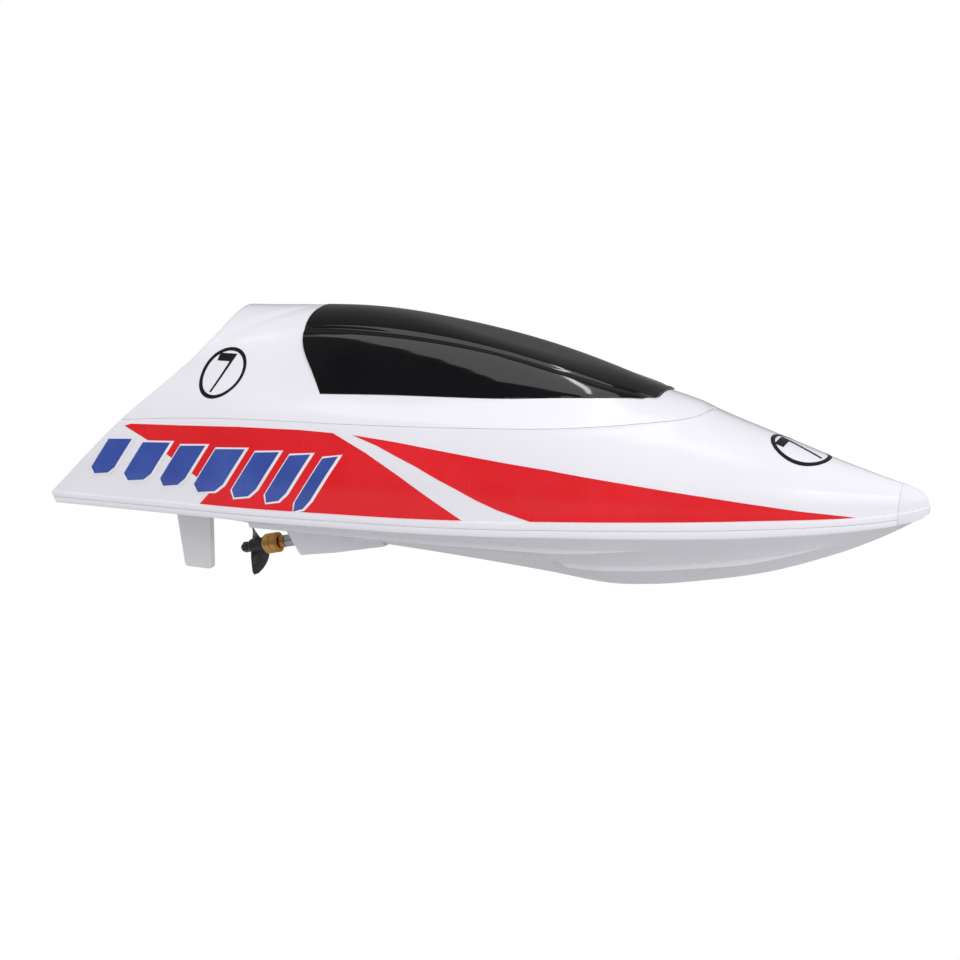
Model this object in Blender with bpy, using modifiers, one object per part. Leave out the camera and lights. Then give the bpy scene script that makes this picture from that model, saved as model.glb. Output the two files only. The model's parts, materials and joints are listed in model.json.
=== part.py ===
"""Radio-controlled self-righting speedboat.

Frame: +X towards the bow, +Y to port, +Z up. The origin is on the centreline, halfway along the
boat, level with the lowest point of the rudder. Lengths are in metres, angles in degrees.
"""

import math

import bmesh
import bpy
from mathutils import Matrix, Vector

# ------------------------------------------------------------------ driving sizes of the hull
SKIN = 0.0018            # moulded wall of the hull and the deck
WALL = 0.0022            # upright wall of the hull bottom at the rail
COVER_SKIN = 0.0022      # moulded wall of the hatch cover
GAP = 0.0003             # clearance between pieces that touch
BOW = 0.20825            # foremost point of the bumper
BUMPER_START = 0.1965    # where the soft bow bumper begins
STEP_X = -0.1035         # transverse step that ends the running bottom
STEP_LEDGE = 0.006       # the underside runs level for this far behind the step
FOOT_INSET = 0.0013      # the topsides start this far inboard of the rail

# Longitudinal curves. Each row starts with x.
KEEL = ((-0.104, 0.0246), (-0.036, 0.0228), (0.029, 0.0198), (0.062, 0.0176), (0.082, 0.0194),
        (0.106, 0.0238), (0.134, 0.0305), (0.165, 0.0418), (0.187, 0.0523), (0.203, 0.0620),
        (0.20825, 0.0662))
OVERHANG_KEEL = 0.0366   # centreline height of the underside behind the step
CHINE = (  # x, half-beam, height
    (-0.204, 0.0570, 0.0411), (-0.133, 0.0575, 0.0424), (-0.101, 0.0578, 0.0429),
    (-0.048, 0.0580, 0.0449), (-0.018, 0.0580, 0.0461), (0.026, 0.0570, 0.0486),
    (0.053, 0.0545, 0.0504), (0.090, 0.0467, 0.0520), (0.127, 0.0357, 0.0536),
    (0.150, 0.0272, 0.0551), (0.172, 0.0184, 0.0570), (0.192, 0.0104, 0.0598),
    (0.202, 0.0060, 0.0622), (0.2065, 0.0030, 0.0640), (0.20825, 0.0010, 0.0665))
RAIL = ((-0.204, 0.0052), (-0.048, 0.0058), (0.026, 0.0064), (0.127, 0.0070), (0.175, 0.0056),
        (0.206, 0.0042), (0.20825, 0.0020))
TOP = ((-0.210, 0.1335), (-0.1315, 0.1344), (-0.0817, 0.1370), (-0.0662, 0.1378),
       (-0.0448, 0.1370), (-0.0186, 0.1334), (0.0102, 0.1281), (0.0303, 0.1239),
       (0.0566, 0.1184), (0.0798, 0.1118), (0.0868, 0.1095), (0.1020, 0.1056),
       (0.1085, 0.1030), (0.1373, 0.0941), (0.1655, 0.0855), (0.1874, 0.0796),
       (0.2010, 0.0762), (0.2055, 0.0740), (0.20725, 0.0718), (0.20825, 0.0690))
SEAM = ((-0.204, 0.0795), (-0.167, 0.0834), (-0.138, 0.0864), (-0.110, 0.0885),
        (-0.073, 0.0902), (-0.054, 0.0908), (0.0, 0.0932), (0.050, 0.0962), (0.072, 0.0979),
        (0.091, 0.0996), (0.106, 0.1012), (0.110, 0.1027), (0.116, 0.1090), (0.215, 0.1400))
# Shape of the topsides as fractions of half-beam and of height above the rail:
# x, then the shoulder, the window foot and the roof edge as (breadth, height).
TOPSIDES = (
    (-0.170, 0.877, 0.421, 0.760, 0.600, 0.600, 0.800),
    (-0.123, 0.870, 0.455, 0.690, 0.660, 0.470, 0.870),
    (-0.085, 0.870, 0.460, 0.696, 0.605, 0.375, 0.903),
    (-0.045, 0.853, 0.463, 0.690, 0.595, 0.371, 0.916),
    (0.000, 0.830, 0.500, 0.657, 0.650, 0.363, 0.955),
    (0.026, 0.820, 0.541, 0.634, 0.700, 0.361, 0.966),
    (0.045, 0.810, 0.581, 0.600, 0.752, 0.353, 0.957),
    (0.063, 0.800, 0.600, 0.555, 0.815, 0.330, 0.945),
    (0.082, 0.800, 0.600, 0.560, 0.828, 0.294, 0.950),
    (0.210, 0.800, 0.600, 0.560, 0.828, 0.294, 0.950))
SIDE_BULGE = ((-0.170, 0.957, 0.215), (-0.045, 0.957, 0.225), (0.050, 0.950, 0.300),
              (0.082, 0.948, 0.317), (0.210, 0.948, 0.317))
# Raked stern: height, x of the side's rear edge, how far the middle bulges aft.
STERN = ((0.0360, -0.2024, 0.0032), (0.0411, -0.2028, 0.0032), (0.0464, -0.20545, 0.0028),
         (0.0480, -0.20385, 0.0030),
         (0.0834, -0.1673, 0.0066), (0.1056, -0.1403, 0.0080), (0.1150, -0.1303, 0.0080),
         (0.1240, -0.1236, 0.0072), (0.1350, -0.1180, 0.0088))
STERN_RUN = -0.086       # the slanted stern stations turn upright by here
STRAKES = ((0.40, 0.045, 0.166), (0.74, -0.1035, 0.088))  # breadth, aft end, fore end
STRAKE_WIDTH = 0.0026

# ------------------------------------------------------------------ window, cover and seal
WINDOW_FOOT = ((-0.0662, 0.1022), (-0.0313, 0.1041), (0.0198, 0.1060), (0.0568, 0.1081),
               (0.0740, 0.1084), (0.0820, 0.1080), (0.0880, 0.1080))
WINDOW_REAR = ((-0.0815, 0.1400), (-0.0838, 0.1376), (-0.0852, 0.1342), (-0.0838, 0.1270),
               (-0.0805, 0.1203), (-0.0733, 0.1115))
WINDOW_THICK = 0.0010
FLANGE = 0.0070          # width of the deck's ledge under the cover
GASKET_TOP = 0.00145     # above the seam
TAIL_HALF_WIDTH = 0.012
LATCH_HALF_WIDTH = 0.007

# ------------------------------------------------------------------ drive line
SHAFT_POINT = Vector((-0.11325, 0.0, 0.0177))
SHAFT_SLOPE = 14.0
SHAFT_RADIUS = 0.0015
TUBE_RADIUS = 0.0030
TUBE_BORE = 0.0020
BUSH_BORE = 0.0018
PROP_RADIUS = 0.0137
HUB_RADIUS = 0.0036
DOG_RADIUS = 0.0050
MOTOR_RADIUS = 0.0120
TUBE_SPAN = (0.0048, 0.0595)
MOTOR_SPAN = (0.0885, 0.1205)

# ------------------------------------------------------------------ steering
STOCK_X = -0.15725
STOCK_RADIUS = 0.0015
SERVO_X = -0.0880
ARM = 0.012              # tiller and servo horn, equal so that the link stays parallel
ARM_HEIGHT = 0.0600

# ------------------------------------------------------------------ battery
BATTERY_SIZE = Vector((0.070, 0.038, 0.020))
BATTERY_CENTRE = Vector((0.0520, 0.0, 0.0504))


# ================================================================== curves
def smooth(table, x, column=1):
    """Cubic through the rows of a table, with slopes limited so that it never overshoots."""
    if x <= table[0][0]:
        return table[0][column]
    if x >= table[-1][0]:
        return table[-1][column]
    index = max(i for i in range(len(table) - 1) if table[i][0] <= x)
    rises = []
    for i in (index - 1, index, index + 1):
        i = min(max(i, 0), len(table) - 2)
        run = table[i + 1][0] - table[i][0]
        rises.append((table[i + 1][column] - table[i][column]) / run)
    slopes = []
    for before, after in (rises[:2], rises[1:]):
        slope = 0.0
        if before * after > 0.0:
            slope = 2.0 * before * after / (before + after)
        slopes.append(slope)
    run = table[index + 1][0] - table[index][0]
    t = (x - table[index][0]) / run
    low, high = table[index][column], table[index + 1][column]
    return (low * (1 + 2 * t) * (1 - t) ** 2 + high * t * t * (3 - 2 * t)
            + run * t * (1 - t) * (slopes[0] * (1 - t) - slopes[1] * t))


def keel_height(x):
    return smooth(KEEL, x)


def half_beam(x):
    return smooth(CHINE, x, 1)


def chine_height(x):
    return smooth(CHINE, x, 2)


def rail_top(x):
    return chine_height(x) + smooth(RAIL, x)


def parting(x):
    """Height where the deck moulding meets the hull bottom, half-way up the rail."""
    return chine_height(x) + 0.5 * smooth(RAIL, x)


def seam_height(x):
    return smooth(SEAM, x)


def top_height(x):
    return smooth(TOP, x)


def stern_x(y, z):
    """x of the crowned, raked stern face."""
    edge = smooth(STERN, z, 1)
    bulge = smooth(STERN, z, 2)
    spread = min(abs(y) / 0.057, 1.0)
    return edge - bulge * (1.0 - spread ** 2)


def catmull(points, t):
    """Point at parameter t (0 to 1) on a smooth curve through the points."""
    last = len(points) - 1
    place = min(max(t, 0.0), 1.0) * last
    i = min(int(place), last - 1)
    u = place - i
    p1, p2 = points[i], points[i + 1]
    p0 = points[i - 1] if i > 0 else 2 * p1 - p2
    p3 = points[i + 2] if i + 2 <= last else 2 * p2 - p1
    return 0.5 * ((2 * p1) + (p2 - p0) * u + (2 * p0 - 5 * p1 + 4 * p2 - p3) * u * u
                  + (3 * p1 - p0 - 3 * p2 + p3) * u ** 3)


SECTION_STEPS = 30
section_cache = {}


def topside(x, inset=0.0):
    """Half of the section above the rail at x, from the foot to the centreline, as (y, z)."""
    key = (round(x, 6), round(inset, 6))
    if key in section_cache:
        return section_cache[key]
    beam = half_beam(x) - FOOT_INSET
    foot = rail_top(x) + 0.0003
    rise = top_height(x) - foot
    fractions = [(1.0, 0.0), (smooth(SIDE_BULGE, x, 1), smooth(SIDE_BULGE, x, 2))]
    fractions += [(smooth(TOPSIDES, x, c), smooth(TOPSIDES, x, c + 1)) for c in (1, 3, 5)]
    fractions.append((0.0, 1.0))
    fractions.append((-fractions[-2][0], fractions[-2][1]))
    points = [Vector((beam * b, foot + rise * h)) for b, h in fractions]
    top_at = (len(points) - 2) / (len(points) - 1)
    curve = [catmull(points, top_at * i / SECTION_STEPS) for i in range(SECTION_STEPS + 1)]
    curve[-1] = Vector((0.0, foot + rise))
    if inset > 0.0:
        curve = inset_curve(curve, inset)
    section_cache[key] = curve
    return curve


def inset_curve(curve, inset):
    """Moves a half section inwards, and ends it on the centreline again."""
    moved = []
    for i, point in enumerate(curve):
        before = curve[max(i - 1, 0)]
        after = curve[min(i + 1, len(curve) - 1)]
        along = (after - before).normalized()
        moved.append(point + inset * Vector((-along.y, along.x)))
    moved[-1].x = 0.0
    kept = [moved[0]]
    for point in moved[1:-1]:
        if point.x > 0.0003 and point.y > kept[-1].y:
            kept.append(point)
    kept.append(Vector((0.0, max(moved[-1].y, kept[-1].y + 0.00002))))
    return kept


def between(curve, low, high, count):
    """count points along a half section between two heights, evenly spaced along it."""
    high = min(high, curve[-1].y)
    low = min(max(low, curve[0].y), high - 0.00005)

    def at_height(z):
        for a, b in zip(curve, curve[1:]):
            if a.y <= z <= b.y:
                return a.lerp(b, (z - a.y) / max(b.y - a.y, 1e-9))
        return curve[-1].copy()

    path = [at_height(low)] + [p for p in curve if low < p.y < high] + [at_height(high)]
    lengths = [0.0]
    for a, b in zip(path, path[1:]):
        lengths.append(lengths[-1] + (b - a).length)
    points = []
    for i in range(count):
        goal = lengths[-1] * i / (count - 1)
        j = max(k for k in range(len(path) - 1) if lengths[k] <= goal + 1e-12)
        span = max(lengths[j + 1] - lengths[j], 1e-9)
        points.append(path[j].lerp(path[j + 1], min((goal - lengths[j]) / span, 1.0)))
    return points


# ================================================================== mesh helpers
collection = bpy.data.collections.new("rc_boat")
cutter_collection = bpy.data.collections.new("cutters")


def start_scene():
    for old in list(bpy.data.objects):
        bpy.data.objects.remove(old)
    bpy.context.scene.collection.children.link(collection)
    bpy.context.scene.collection.children.link(cutter_collection)


def material(name, colour, roughness=0.4, metallic=0.0):
    made = bpy.data.materials.new(name)
    made.use_nodes = True
    shader = made.node_tree.nodes["Principled BSDF"]
    shader.inputs["Base Color"].default_value = (*colour, 1.0)
    shader.inputs["Roughness"].default_value = roughness
    shader.inputs["Metallic"].default_value = metallic
    return made


COLOURS = {
    "gloss_white": ((0.86, 0.86, 0.88), 0.18, 0.0),
    "hull_white": ((0.78, 0.78, 0.80), 0.25, 0.0),
    "window_black": ((0.012, 0.012, 0.014), 0.08, 0.0),
    "soft_white": ((0.82, 0.82, 0.83), 0.6, 0.0),
    "black_rubber": ((0.03, 0.03, 0.03), 0.8, 0.0),
    "black_plastic": ((0.02, 0.02, 0.022), 0.35, 0.0),
    "grey_plastic": ((0.60, 0.60, 0.62), 0.4, 0.0),
    "brass": ((0.72, 0.45, 0.18), 0.28, 1.0),
    "steel": ((0.55, 0.56, 0.58), 0.25, 1.0),
    "motor_steel": ((0.62, 0.62, 0.64), 0.35, 1.0),
    "servo_blue": ((0.03, 0.10, 0.42), 0.3, 0.0),
    "battery_blue": ((0.04, 0.16, 0.50), 0.35, 0.0),
    "red_wire": ((0.60, 0.02, 0.02), 0.45, 0.0),
    "black_wire": ((0.02, 0.02, 0.02), 0.45, 0.0),
    "strap_black": ((0.03, 0.03, 0.035), 0.9, 0.0),
}


def finish(obj, name, colour, smooth_angle=35.0):
    """Names an object, puts it in the boat's collection and gives it its material."""
    obj.name = name
    obj.data.name = name
    for holder in list(obj.users_collection):
        holder.objects.unlink(obj)
    collection.objects.link(obj)
    obj.data.materials.clear()
    obj.data.materials.append(material(name + "_" + colour, *COLOURS[colour]))
    obj.data.shade_smooth()
    obj.data.set_sharp_from_angle(angle=math.radians(smooth_angle))
    return obj


def as_cutter(obj, name):
    obj.name = name
    for holder in list(obj.users_collection):
        holder.objects.unlink(obj)
    cutter_collection.objects.link(obj)
    obj.hide_render = True
    obj.display_type = "WIRE"
    return obj


def boolean(obj, other, operation="DIFFERENCE"):
    modifier = obj.modifiers.new(operation.lower(), "BOOLEAN")
    modifier.operation = operation
    modifier.solver = "EXACT"
    modifier.object = other
    return modifier


def bevel(obj, width, segments=2):
    modifier = obj.modifiers.new("bevel", "BEVEL")
    modifier.width = width
    modifier.segments = segments
    modifier.limit_method = "ANGLE"
    modifier.angle_limit = math.radians(40.0)
    return modifier


def mesh_object(name, mesh_builder):
    """Closed object from a bmesh that the builder function fills."""
    work = bmesh.new()
    mesh_builder(work)
    bmesh.ops.remove_doubles(work, verts=work.verts, dist=2e-6)
    bmesh.ops.dissolve_degenerate(work, edges=work.edges, dist=1e-6)
    bmesh.ops.recalc_face_normals(work, faces=work.faces)
    mesh = bpy.data.meshes.new(name)
    work.to_mesh(mesh)
    work.free()
    obj = bpy.data.objects.new(name, mesh)
    bpy.context.scene.collection.objects.link(obj)
    return obj


def placed(obj, matrix):
    obj.matrix_world = matrix
    return obj


def shaft_frame(along=0.0):
    """Local Z points forward along the propeller shaft."""
    turn = Matrix.Rotation(math.radians(90.0 - SHAFT_SLOPE), 4, "Y")
    return Matrix.Translation(shaft_point(along)) @ turn


def shaft_point(along):
    slope = math.radians(SHAFT_SLOPE)
    return SHAFT_POINT + along * Vector((math.cos(slope), 0.0, math.sin(slope)))


def cylinder(radius, depth, sides=24):
    """Upright cylinder centred on its origin."""
    def build(work):
        bmesh.ops.create_cone(work, cap_ends=True, segments=sides, radius1=radius,
                              radius2=radius, depth=depth)
    return mesh_object("cylinder", build)


def box(size):
    def build(work):
        bmesh.ops.create_cube(work, size=1.0)
        bmesh.ops.scale(work, vec=size, verts=work.verts)
    return mesh_object("box", build)


def turned(profile, sides=24):
    """Profile of (radius, height) points, run down the outer side, spun about local Z."""
    def build(work):
        verts = [work.verts.new((radius, 0.0, height)) for radius, height in profile]
        for a, b in zip(verts, verts[1:]):
            work.edges.new((a, b))
    obj = mesh_object("turned", build)
    screw = obj.modifiers.new("spin", "SCREW")
    screw.angle = math.radians(360.0)
    screw.steps = sides
    screw.render_steps = sides
    screw.use_merge_vertices = True
    screw.merge_threshold = 0.00001
    screw.use_smooth_shade = True
    return obj


def ring(outer, inner, low, high, sides=24, edge=0.0003):
    """Tube between two heights, with its outer edges broken."""
    return turned([(inner, high), (outer - edge, high), (outer, high - edge),
                   (outer, low + edge), (outer - edge, low), (inner, low), (inner, high)], sides)


def flat_piece(outline, thickness, matrix=Matrix.Identity(4), holes=()):
    """Solid plate from a flat outline in local XY; its thickness is centred on local Z."""
    curve = bpy.data.curves.new("outline", "CURVE")
    curve.dimensions = "2D"
    curve.fill_mode = "BOTH"
    curve.extrude = 0.5 * thickness
    for loop in (outline, *holes):
        spline = curve.splines.new("POLY")
        spline.points.add(len(loop) - 1)
        for point, (x, y) in zip(spline.points, loop):
            point.co = (x, y, 0.0, 1.0)
        spline.use_cyclic_u = True
    holder = bpy.data.objects.new("outline", curve)
    bpy.context.scene.collection.objects.link(holder)
    obj = meshed(holder)
    obj.matrix_world = matrix
    return obj


def meshed(holder):
    """Turns a curve object into a welded mesh object at the same place."""
    bpy.context.view_layer.update()
    shape = holder.evaluated_get(bpy.context.evaluated_depsgraph_get())
    mesh = bpy.data.meshes.new_from_object(shape)
    work = bmesh.new()
    work.from_mesh(mesh)
    bmesh.ops.remove_doubles(work, verts=work.verts, dist=1e-6)
    bmesh.ops.recalc_face_normals(work, faces=work.faces)
    work.to_mesh(mesh)
    work.free()
    obj = bpy.data.objects.new(holder.name, mesh)
    bpy.context.scene.collection.objects.link(obj)
    obj.matrix_world = holder.matrix_world
    bpy.data.objects.remove(holder)
    return obj


def circle(radius, centre=(0.0, 0.0), count=20):
    return [(centre[0] + radius * math.cos(2 * math.pi * i / count),
             centre[1] + radius * math.sin(2 * math.pi * i / count)) for i in range(count)]


def rod(points, radius, sides_level=2):
    """Wire or tube along the points."""
    curve = bpy.data.curves.new("rod", "CURVE")
    curve.dimensions = "3D"
    curve.bevel_depth = radius
    curve.bevel_resolution = sides_level
    curve.use_fill_caps = True
    spline = curve.splines.new("POLY")
    spline.points.add(len(points) - 1)
    for point, place in zip(spline.points, points):
        point.co = (*place, 1.0)
    holder = bpy.data.objects.new("rod", curve)
    bpy.context.scene.collection.objects.link(holder)
    return meshed(holder)


def join_to(obj, other, name):
    """Boolean union with a helper shape that is kept with the cutters."""
    as_cutter(other, name)
    boolean(obj, other, "UNION")
    return obj


SIDE_PLANE = Matrix(((1, 0, 0, 0), (0, 0, -1, 0), (0, 1, 0, 0), (0, 0, 0, 1)))   # XY -> XZ
CROSS_PLANE = Matrix(((0, 0, 1, 0), (1, 0, 0, 0), (0, 1, 0, 0), (0, 0, 0, 1)))   # XY -> YZ


# ================================================================== lofted bodies
COLUMNS = 6


def loft(name, stations):
    """Closed body through stations. A station is a list of rows from low to high, and a row is
    the same height from starboard to port as COLUMNS + 1 points. Faces join the outer rims of
    neighbouring stations, and the first and last stations are closed with their whole grid."""
    def build(work):
        rows = len(stations[0])
        rim = [(r, 0) for r in range(rows)]
        rim += [(rows - 1, c) for c in range(1, COLUMNS)]
        rim += [(r, COLUMNS) for r in range(rows - 1, -1, -1)]
        rim += [(0, c) for c in range(COLUMNS - 1, 0, -1)]
        grids = []
        for number, station in enumerate(stations):
            whole = number in (0, len(stations) - 1)
            verts = {}
            for r, row in enumerate(station):
                for c, point in enumerate(row):
                    if whole or (r, c) in rim:
                        verts[r, c] = work.verts.new(point)
            grids.append(verts)
        for a, b in zip(grids, grids[1:]):
            for i, here in enumerate(rim):
                there = rim[(i + 1) % len(rim)]
                work.faces.new((a[here], a[there], b[there], b[here]))
        for grid in (grids[0], grids[-1]):
            for r in range(rows - 1):
                for c in range(COLUMNS):
                    work.faces.new((grid[r, c], grid[r, c + 1], grid[r + 1, c + 1],
                                    grid[r + 1, c]))
    return mesh_object(name, build)


def spread(half, x_of):
    """Station from the half outline: each (y, z) becomes a row across the boat."""
    rows = []
    for y, z in half:
        row = []
        for c in range(COLUMNS + 1):
            side = -y + 2.0 * y * c / COLUMNS
            row.append((x_of(side, z), side, z))
        rows.append(row)
    return rows


def slanted_station(outline_at, share, inset, run):
    """Station of the stern part. share 0 lies on the raked stern face and 1 is upright at run."""
    shift = 1.35 * inset

    def x_of(y, z):
        return (1.0 - share) * (stern_x(y, z) + shift) + share * run

    count = len(outline_at(run))
    half = []
    for k in range(count):
        x = run
        for _ in range(8):
            y, z = outline_at(x)[k]
            x = x_of(y, z)
        half.append((y, z))
    return spread(half, x_of)


def spaced(start, end, count):
    return [start + (end - start) * i / (count - 1) for i in range(count)]


def loft_from_stern(name, outline_at, fore_stations, inset=0.0, run=STERN_RUN, slants=5):
    """Loft that starts on the raked stern and goes on through upright stations."""
    stations = [slanted_station(outline_at, i / slants, inset, run) for i in range(slants + 1)]
    for x in fore_stations:
        stations.append(spread(outline_at(x), lambda y, z, x=x: x))
    return loft(name, stations)


def upper_outline(inset, low, high, count):
    """Function of x giving the half outline of the topsides between two heights."""
    def outline_at(x):
        return [(p.x, p.y) for p in between(topside(x, inset), low(x), high(x), count)]
    return outline_at


def seam_plus(offset):
    return lambda x: seam_height(x) + offset


def front_limit(inset, offset):
    """Where the cover's inset shape has thinned to nothing above the seam."""
    x = 0.085
    while topside(x, inset)[-1].y > seam_height(x) + offset + 0.0006:
        x += 0.0005
    return x - 0.0005


def cover_stations(end):
    fore = [x for x in (0.096, 0.100, 0.1035, 0.106) if x < end - 0.001]
    return spaced(-0.06, 0.09, 9) + fore + [end]


# ================================================================== hull bottom and deck
def bottom_outline(x, running):
    """Half outline of the hull bottom, from the keel up to the parting line."""
    keel = keel_height(x) if running else OVERHANG_KEEL
    level = x < STEP_X and x > STEP_X - 1.01 * STEP_LEDGE
    beam, chine = half_beam(x), chine_height(STEP_X if level else x)

    def rise(y):
        return keel + (chine - keel) * y / beam

    outline = [(0.0, keel)]
    for share, aft, fore in STRAKES:
        inside = running and aft - 0.001 < x < fore
        fade = min((fore - x) / 0.03, (x - aft) / 0.02 + 1.0, 1.0) if inside else 0.0
        width = STRAKE_WIDTH * max(fade, 0.0)
        y = share * beam
        flat = rise(y) + 0.08 * width
        outline += [(y, rise(y)), (y + width, flat), (y + 1.15 * width, rise(y + 1.15 * width))]
    outline += [(beam, chine), (beam, parting(x) - 0.5 * GAP)]
    return outline


def hull_cavity_outline(x, running):
    keel = keel_height(x) if running else OVERHANG_KEEL
    wall = half_beam(x) - WALL
    floor = keel + 1.25 * SKIN
    corner = max(chine_height(x) + SKIN, floor + 0.0005)
    rows = [(wall * t, floor + (corner - floor) * t) for t in (0.0, 0.35, 0.7, 1.0)]
    return rows + [(wall, parting(x) + 0.003)]


def hull_bottom():
    stern = [slanted_station(lambda x: bottom_outline(x, False), i / 2, 0.0, STEP_X - 0.04)
             for i in range(3)]
    upright = [(x, False) for x in (STEP_X - 0.02, STEP_X - STEP_LEDGE, STEP_X)]
    upright += [(x, True) for x in spaced(STEP_X, 0.145, 14)]
    upright += [(x, True) for x in (0.158, 0.17, 0.18, 0.189, BUMPER_START - 0.5 * GAP)]
    stations = stern
    for x, running in upright:
        stations.append(spread(bottom_outline(x, running), lambda y, z, x=x: x))
    hull = finish(loft("hull_bottom", stations), "hull_bottom", "hull_white")

    step = STEP_X + SKIN
    hollow = [slanted_station(lambda x: hull_cavity_outline(x, False), i / 2, SKIN,
                              STEP_X - 0.04) for i in range(3)]
    hollow += [spread(hull_cavity_outline(step, flag), lambda y, z: step)
               for flag in (False, True)]
    for x in spaced(-0.085, 0.175, 12):
        hollow.append(spread(hull_cavity_outline(x, True), lambda y, z, x=x: x))

    profile = [(-0.1080, 0.0280), (-0.09825, 0.0138), (-0.07925, 0.0171), (-0.052, 0.0232),
               (-0.052, 0.0240), (-0.060, 0.0300)]
    skeg = flat_piece(profile, 0.0094, SIDE_PLANE)
    bevel(skeg, 0.0008, 1)
    join_to(hull, skeg, "skeg_shape")
    boolean(hull, as_cutter(loft("hull_cavity", hollow), "hull_cavity"))
    tube_hole = placed(cylinder(TUBE_RADIUS + GAP, 0.075), shaft_frame(0.0335))
    boolean(hull, as_cutter(tube_hole, "stern_tube_hole"))
    stock_hole = placed(cylinder(0.0030 + GAP, 0.02), Matrix.Translation((STOCK_X, 0, 0.04)))
    boolean(hull, as_cutter(stock_hole, "rudder_stock_hole"))
    return hull


def deck_outline(x):
    """Rail, then topsides up to the cover's seam, or to the centreline ahead of the cover."""
    rim = half_beam(x)
    rail = [(rim, parting(x) + 0.5 * GAP), (rim - 0.0001, rail_top(x))]
    side = between(topside(x), 0.0, seam_height(x) - 0.5 * GAP, 9)
    return rail + [(p.x, p.y) for p in side]


def deck_cavity_outline(x):
    curve = topside(x, SKIN)
    side = between(curve, 0.0, seam_height(x) - 0.0024, 7)
    return [(curve[0].x, parting(x) - 0.002)] + [(p.x, p.y) for p in side]


def deck_shell():
    ahead = spaced(-0.06, 0.09, 10) + [0.096, 0.101, 0.105, 0.108, 0.1105, 0.114]
    ahead += [0.126, 0.140, 0.155, 0.169, 0.181, 0.190, BUMPER_START - 0.5 * GAP]
    deck = finish(loft_from_stern("deck_shell", deck_outline, ahead), "deck_shell",
                  "gloss_white")
    inner = spaced(-0.06, 0.09, 8) + [0.100, 0.108, 0.116, 0.135, 0.155, 0.172]
    cavity = loft_from_stern("deck_cavity", deck_cavity_outline, inner, SKIN)
    boolean(deck, as_cutter(cavity, "deck_cavity"))
    end = front_limit(FLANGE, -0.004)
    opening = loft_from_stern("opening", upper_outline(FLANGE, seam_plus(-0.004),
                              seam_plus(0.004), 4), cover_stations(end), FLANGE)
    boolean(deck, as_cutter(opening, "hatch_opening"))
    return deck


def bow_bumper():
    """Soft tip that wraps the bow from keel to deck."""
    stations = []
    start = BUMPER_START + 0.5 * GAP
    for x in (start, 0.2000, 0.2030, 0.2055, 0.2072, BOW):
        beam, chine = half_beam(x), chine_height(x)
        half = [(0.0, keel_height(x)), (0.5 * beam, 0.5 * (keel_height(x) + chine)),
                (beam, chine), (beam - 0.0001, rail_top(x))]
        half += [(p.x, p.y) for p in between(topside(x), 0.0, 1.0, 7)]
        stations.append(spread(half, lambda y, z, x=x: x))
    return finish(loft("bow_bumper", stations), "bow_bumper", "soft_white")


# ================================================================== hatch cover
def window_outline(clearance):
    """Side view of the window, grown outwards by the clearance."""
    foot = [(x, z - clearance) for x, z in WINDOW_FOOT]
    foot[0] = (foot[0][0] - 0.7 * clearance, foot[0][1])
    foot[-1] = (foot[-1][0] + clearance, foot[-1][1])
    rear = [(x - clearance, z) for x, z in WINDOW_REAR]
    return foot + [(WINDOW_FOOT[-1][0] + clearance, 0.150), (rear[0][0], 0.150)] + rear


def window_prism(clearance, name):
    plate = flat_piece(window_outline(clearance), 0.16, SIDE_PLANE)
    return as_cutter(plate, name)


def window_core(inset, name):
    outline = upper_outline(inset, lambda x: 0.094, lambda x: 1.0, 9)
    return as_cutter(upright_loft(name, outline, spaced(-0.10, 0.094, 16)), name)


def upright_loft(name, outline_at, xs):
    return loft(name, [spread(outline_at(x), lambda y, z, x=x: x) for x in xs])


def tail_frame():
    """Local X up along the raked stern, local Z out of it, at the seam on the centreline."""
    low, high = seam_height(-0.1740), 0.105
    a = Vector((stern_x(0.0, low), 0.0, low))
    along = (Vector((stern_x(0.0, high), 0.0, high)) - a).normalized()
    out = Vector((-along.z, 0.0, along.x))
    side = out.cross(along)
    frame = Matrix((along, side, out)).transposed().to_4x4()
    frame.translation = a
    return frame


TAIL_BLOCK = ((0.0185, -0.0040), (0.0185, 0.0014), (0.0212, 0.0044), (0.0262, 0.0042),
              (0.0410, 0.0014), (0.0450, -0.0010), (0.0450, -0.0040))
LATCH_PLATE = ((-0.0080, 0.0007), (-0.0080, 0.0018), (-0.0045, 0.0026), (-0.0040, 0.0058),
               (-0.0020, 0.0062), (-0.0005, 0.0058), (0.0, 0.0026), (0.0205, 0.0026),
               (0.0205, 0.0007))


def hatch_cover():
    end = front_limit(0.0, 0.5 * GAP)
    outer = upper_outline(0.0, seam_plus(0.5 * GAP), lambda x: 1.0, 12)
    cover = finish(loft_from_stern("hatch_cover", outer, cover_stations(end)), "hatch_cover",
                   "gloss_white")

    channel_end = front_limit(0.0019, GASKET_TOP + GAP)
    channel = loft_from_stern("channel", upper_outline(0.0019, seam_plus(-0.002),
                              seam_plus(GASKET_TOP + GAP), 3), cover_stations(channel_end),
                              0.0019)
    boolean(cover, as_cutter(channel, "gasket_channel"))
    mouth_end = front_limit(0.0062, 0.0008)
    mouth = loft_from_stern("mouth", upper_outline(0.0062, seam_plus(0.0008),
                            seam_plus(0.0045), 3), cover_stations(mouth_end), 0.0062)
    boolean(cover, as_cutter(mouth, "cover_mouth"))
    room_end = front_limit(COVER_SKIN, 0.0038)
    room = loft_from_stern("room", upper_outline(COVER_SKIN, seam_plus(0.0038),
                           lambda x: 1.0, 9), cover_stations(room_end), COVER_SKIN)
    boolean(cover, as_cutter(room, "cover_room"))

    recess = window_prism(0.5 * GAP, "window_recess")
    boolean(recess, window_core(WINDOW_THICK + 1.5 * GAP, "window_bed"))
    boolean(cover, recess)

    boolean(cover, latch_slot("latch_slot_in_cover"))
    return cover


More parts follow.
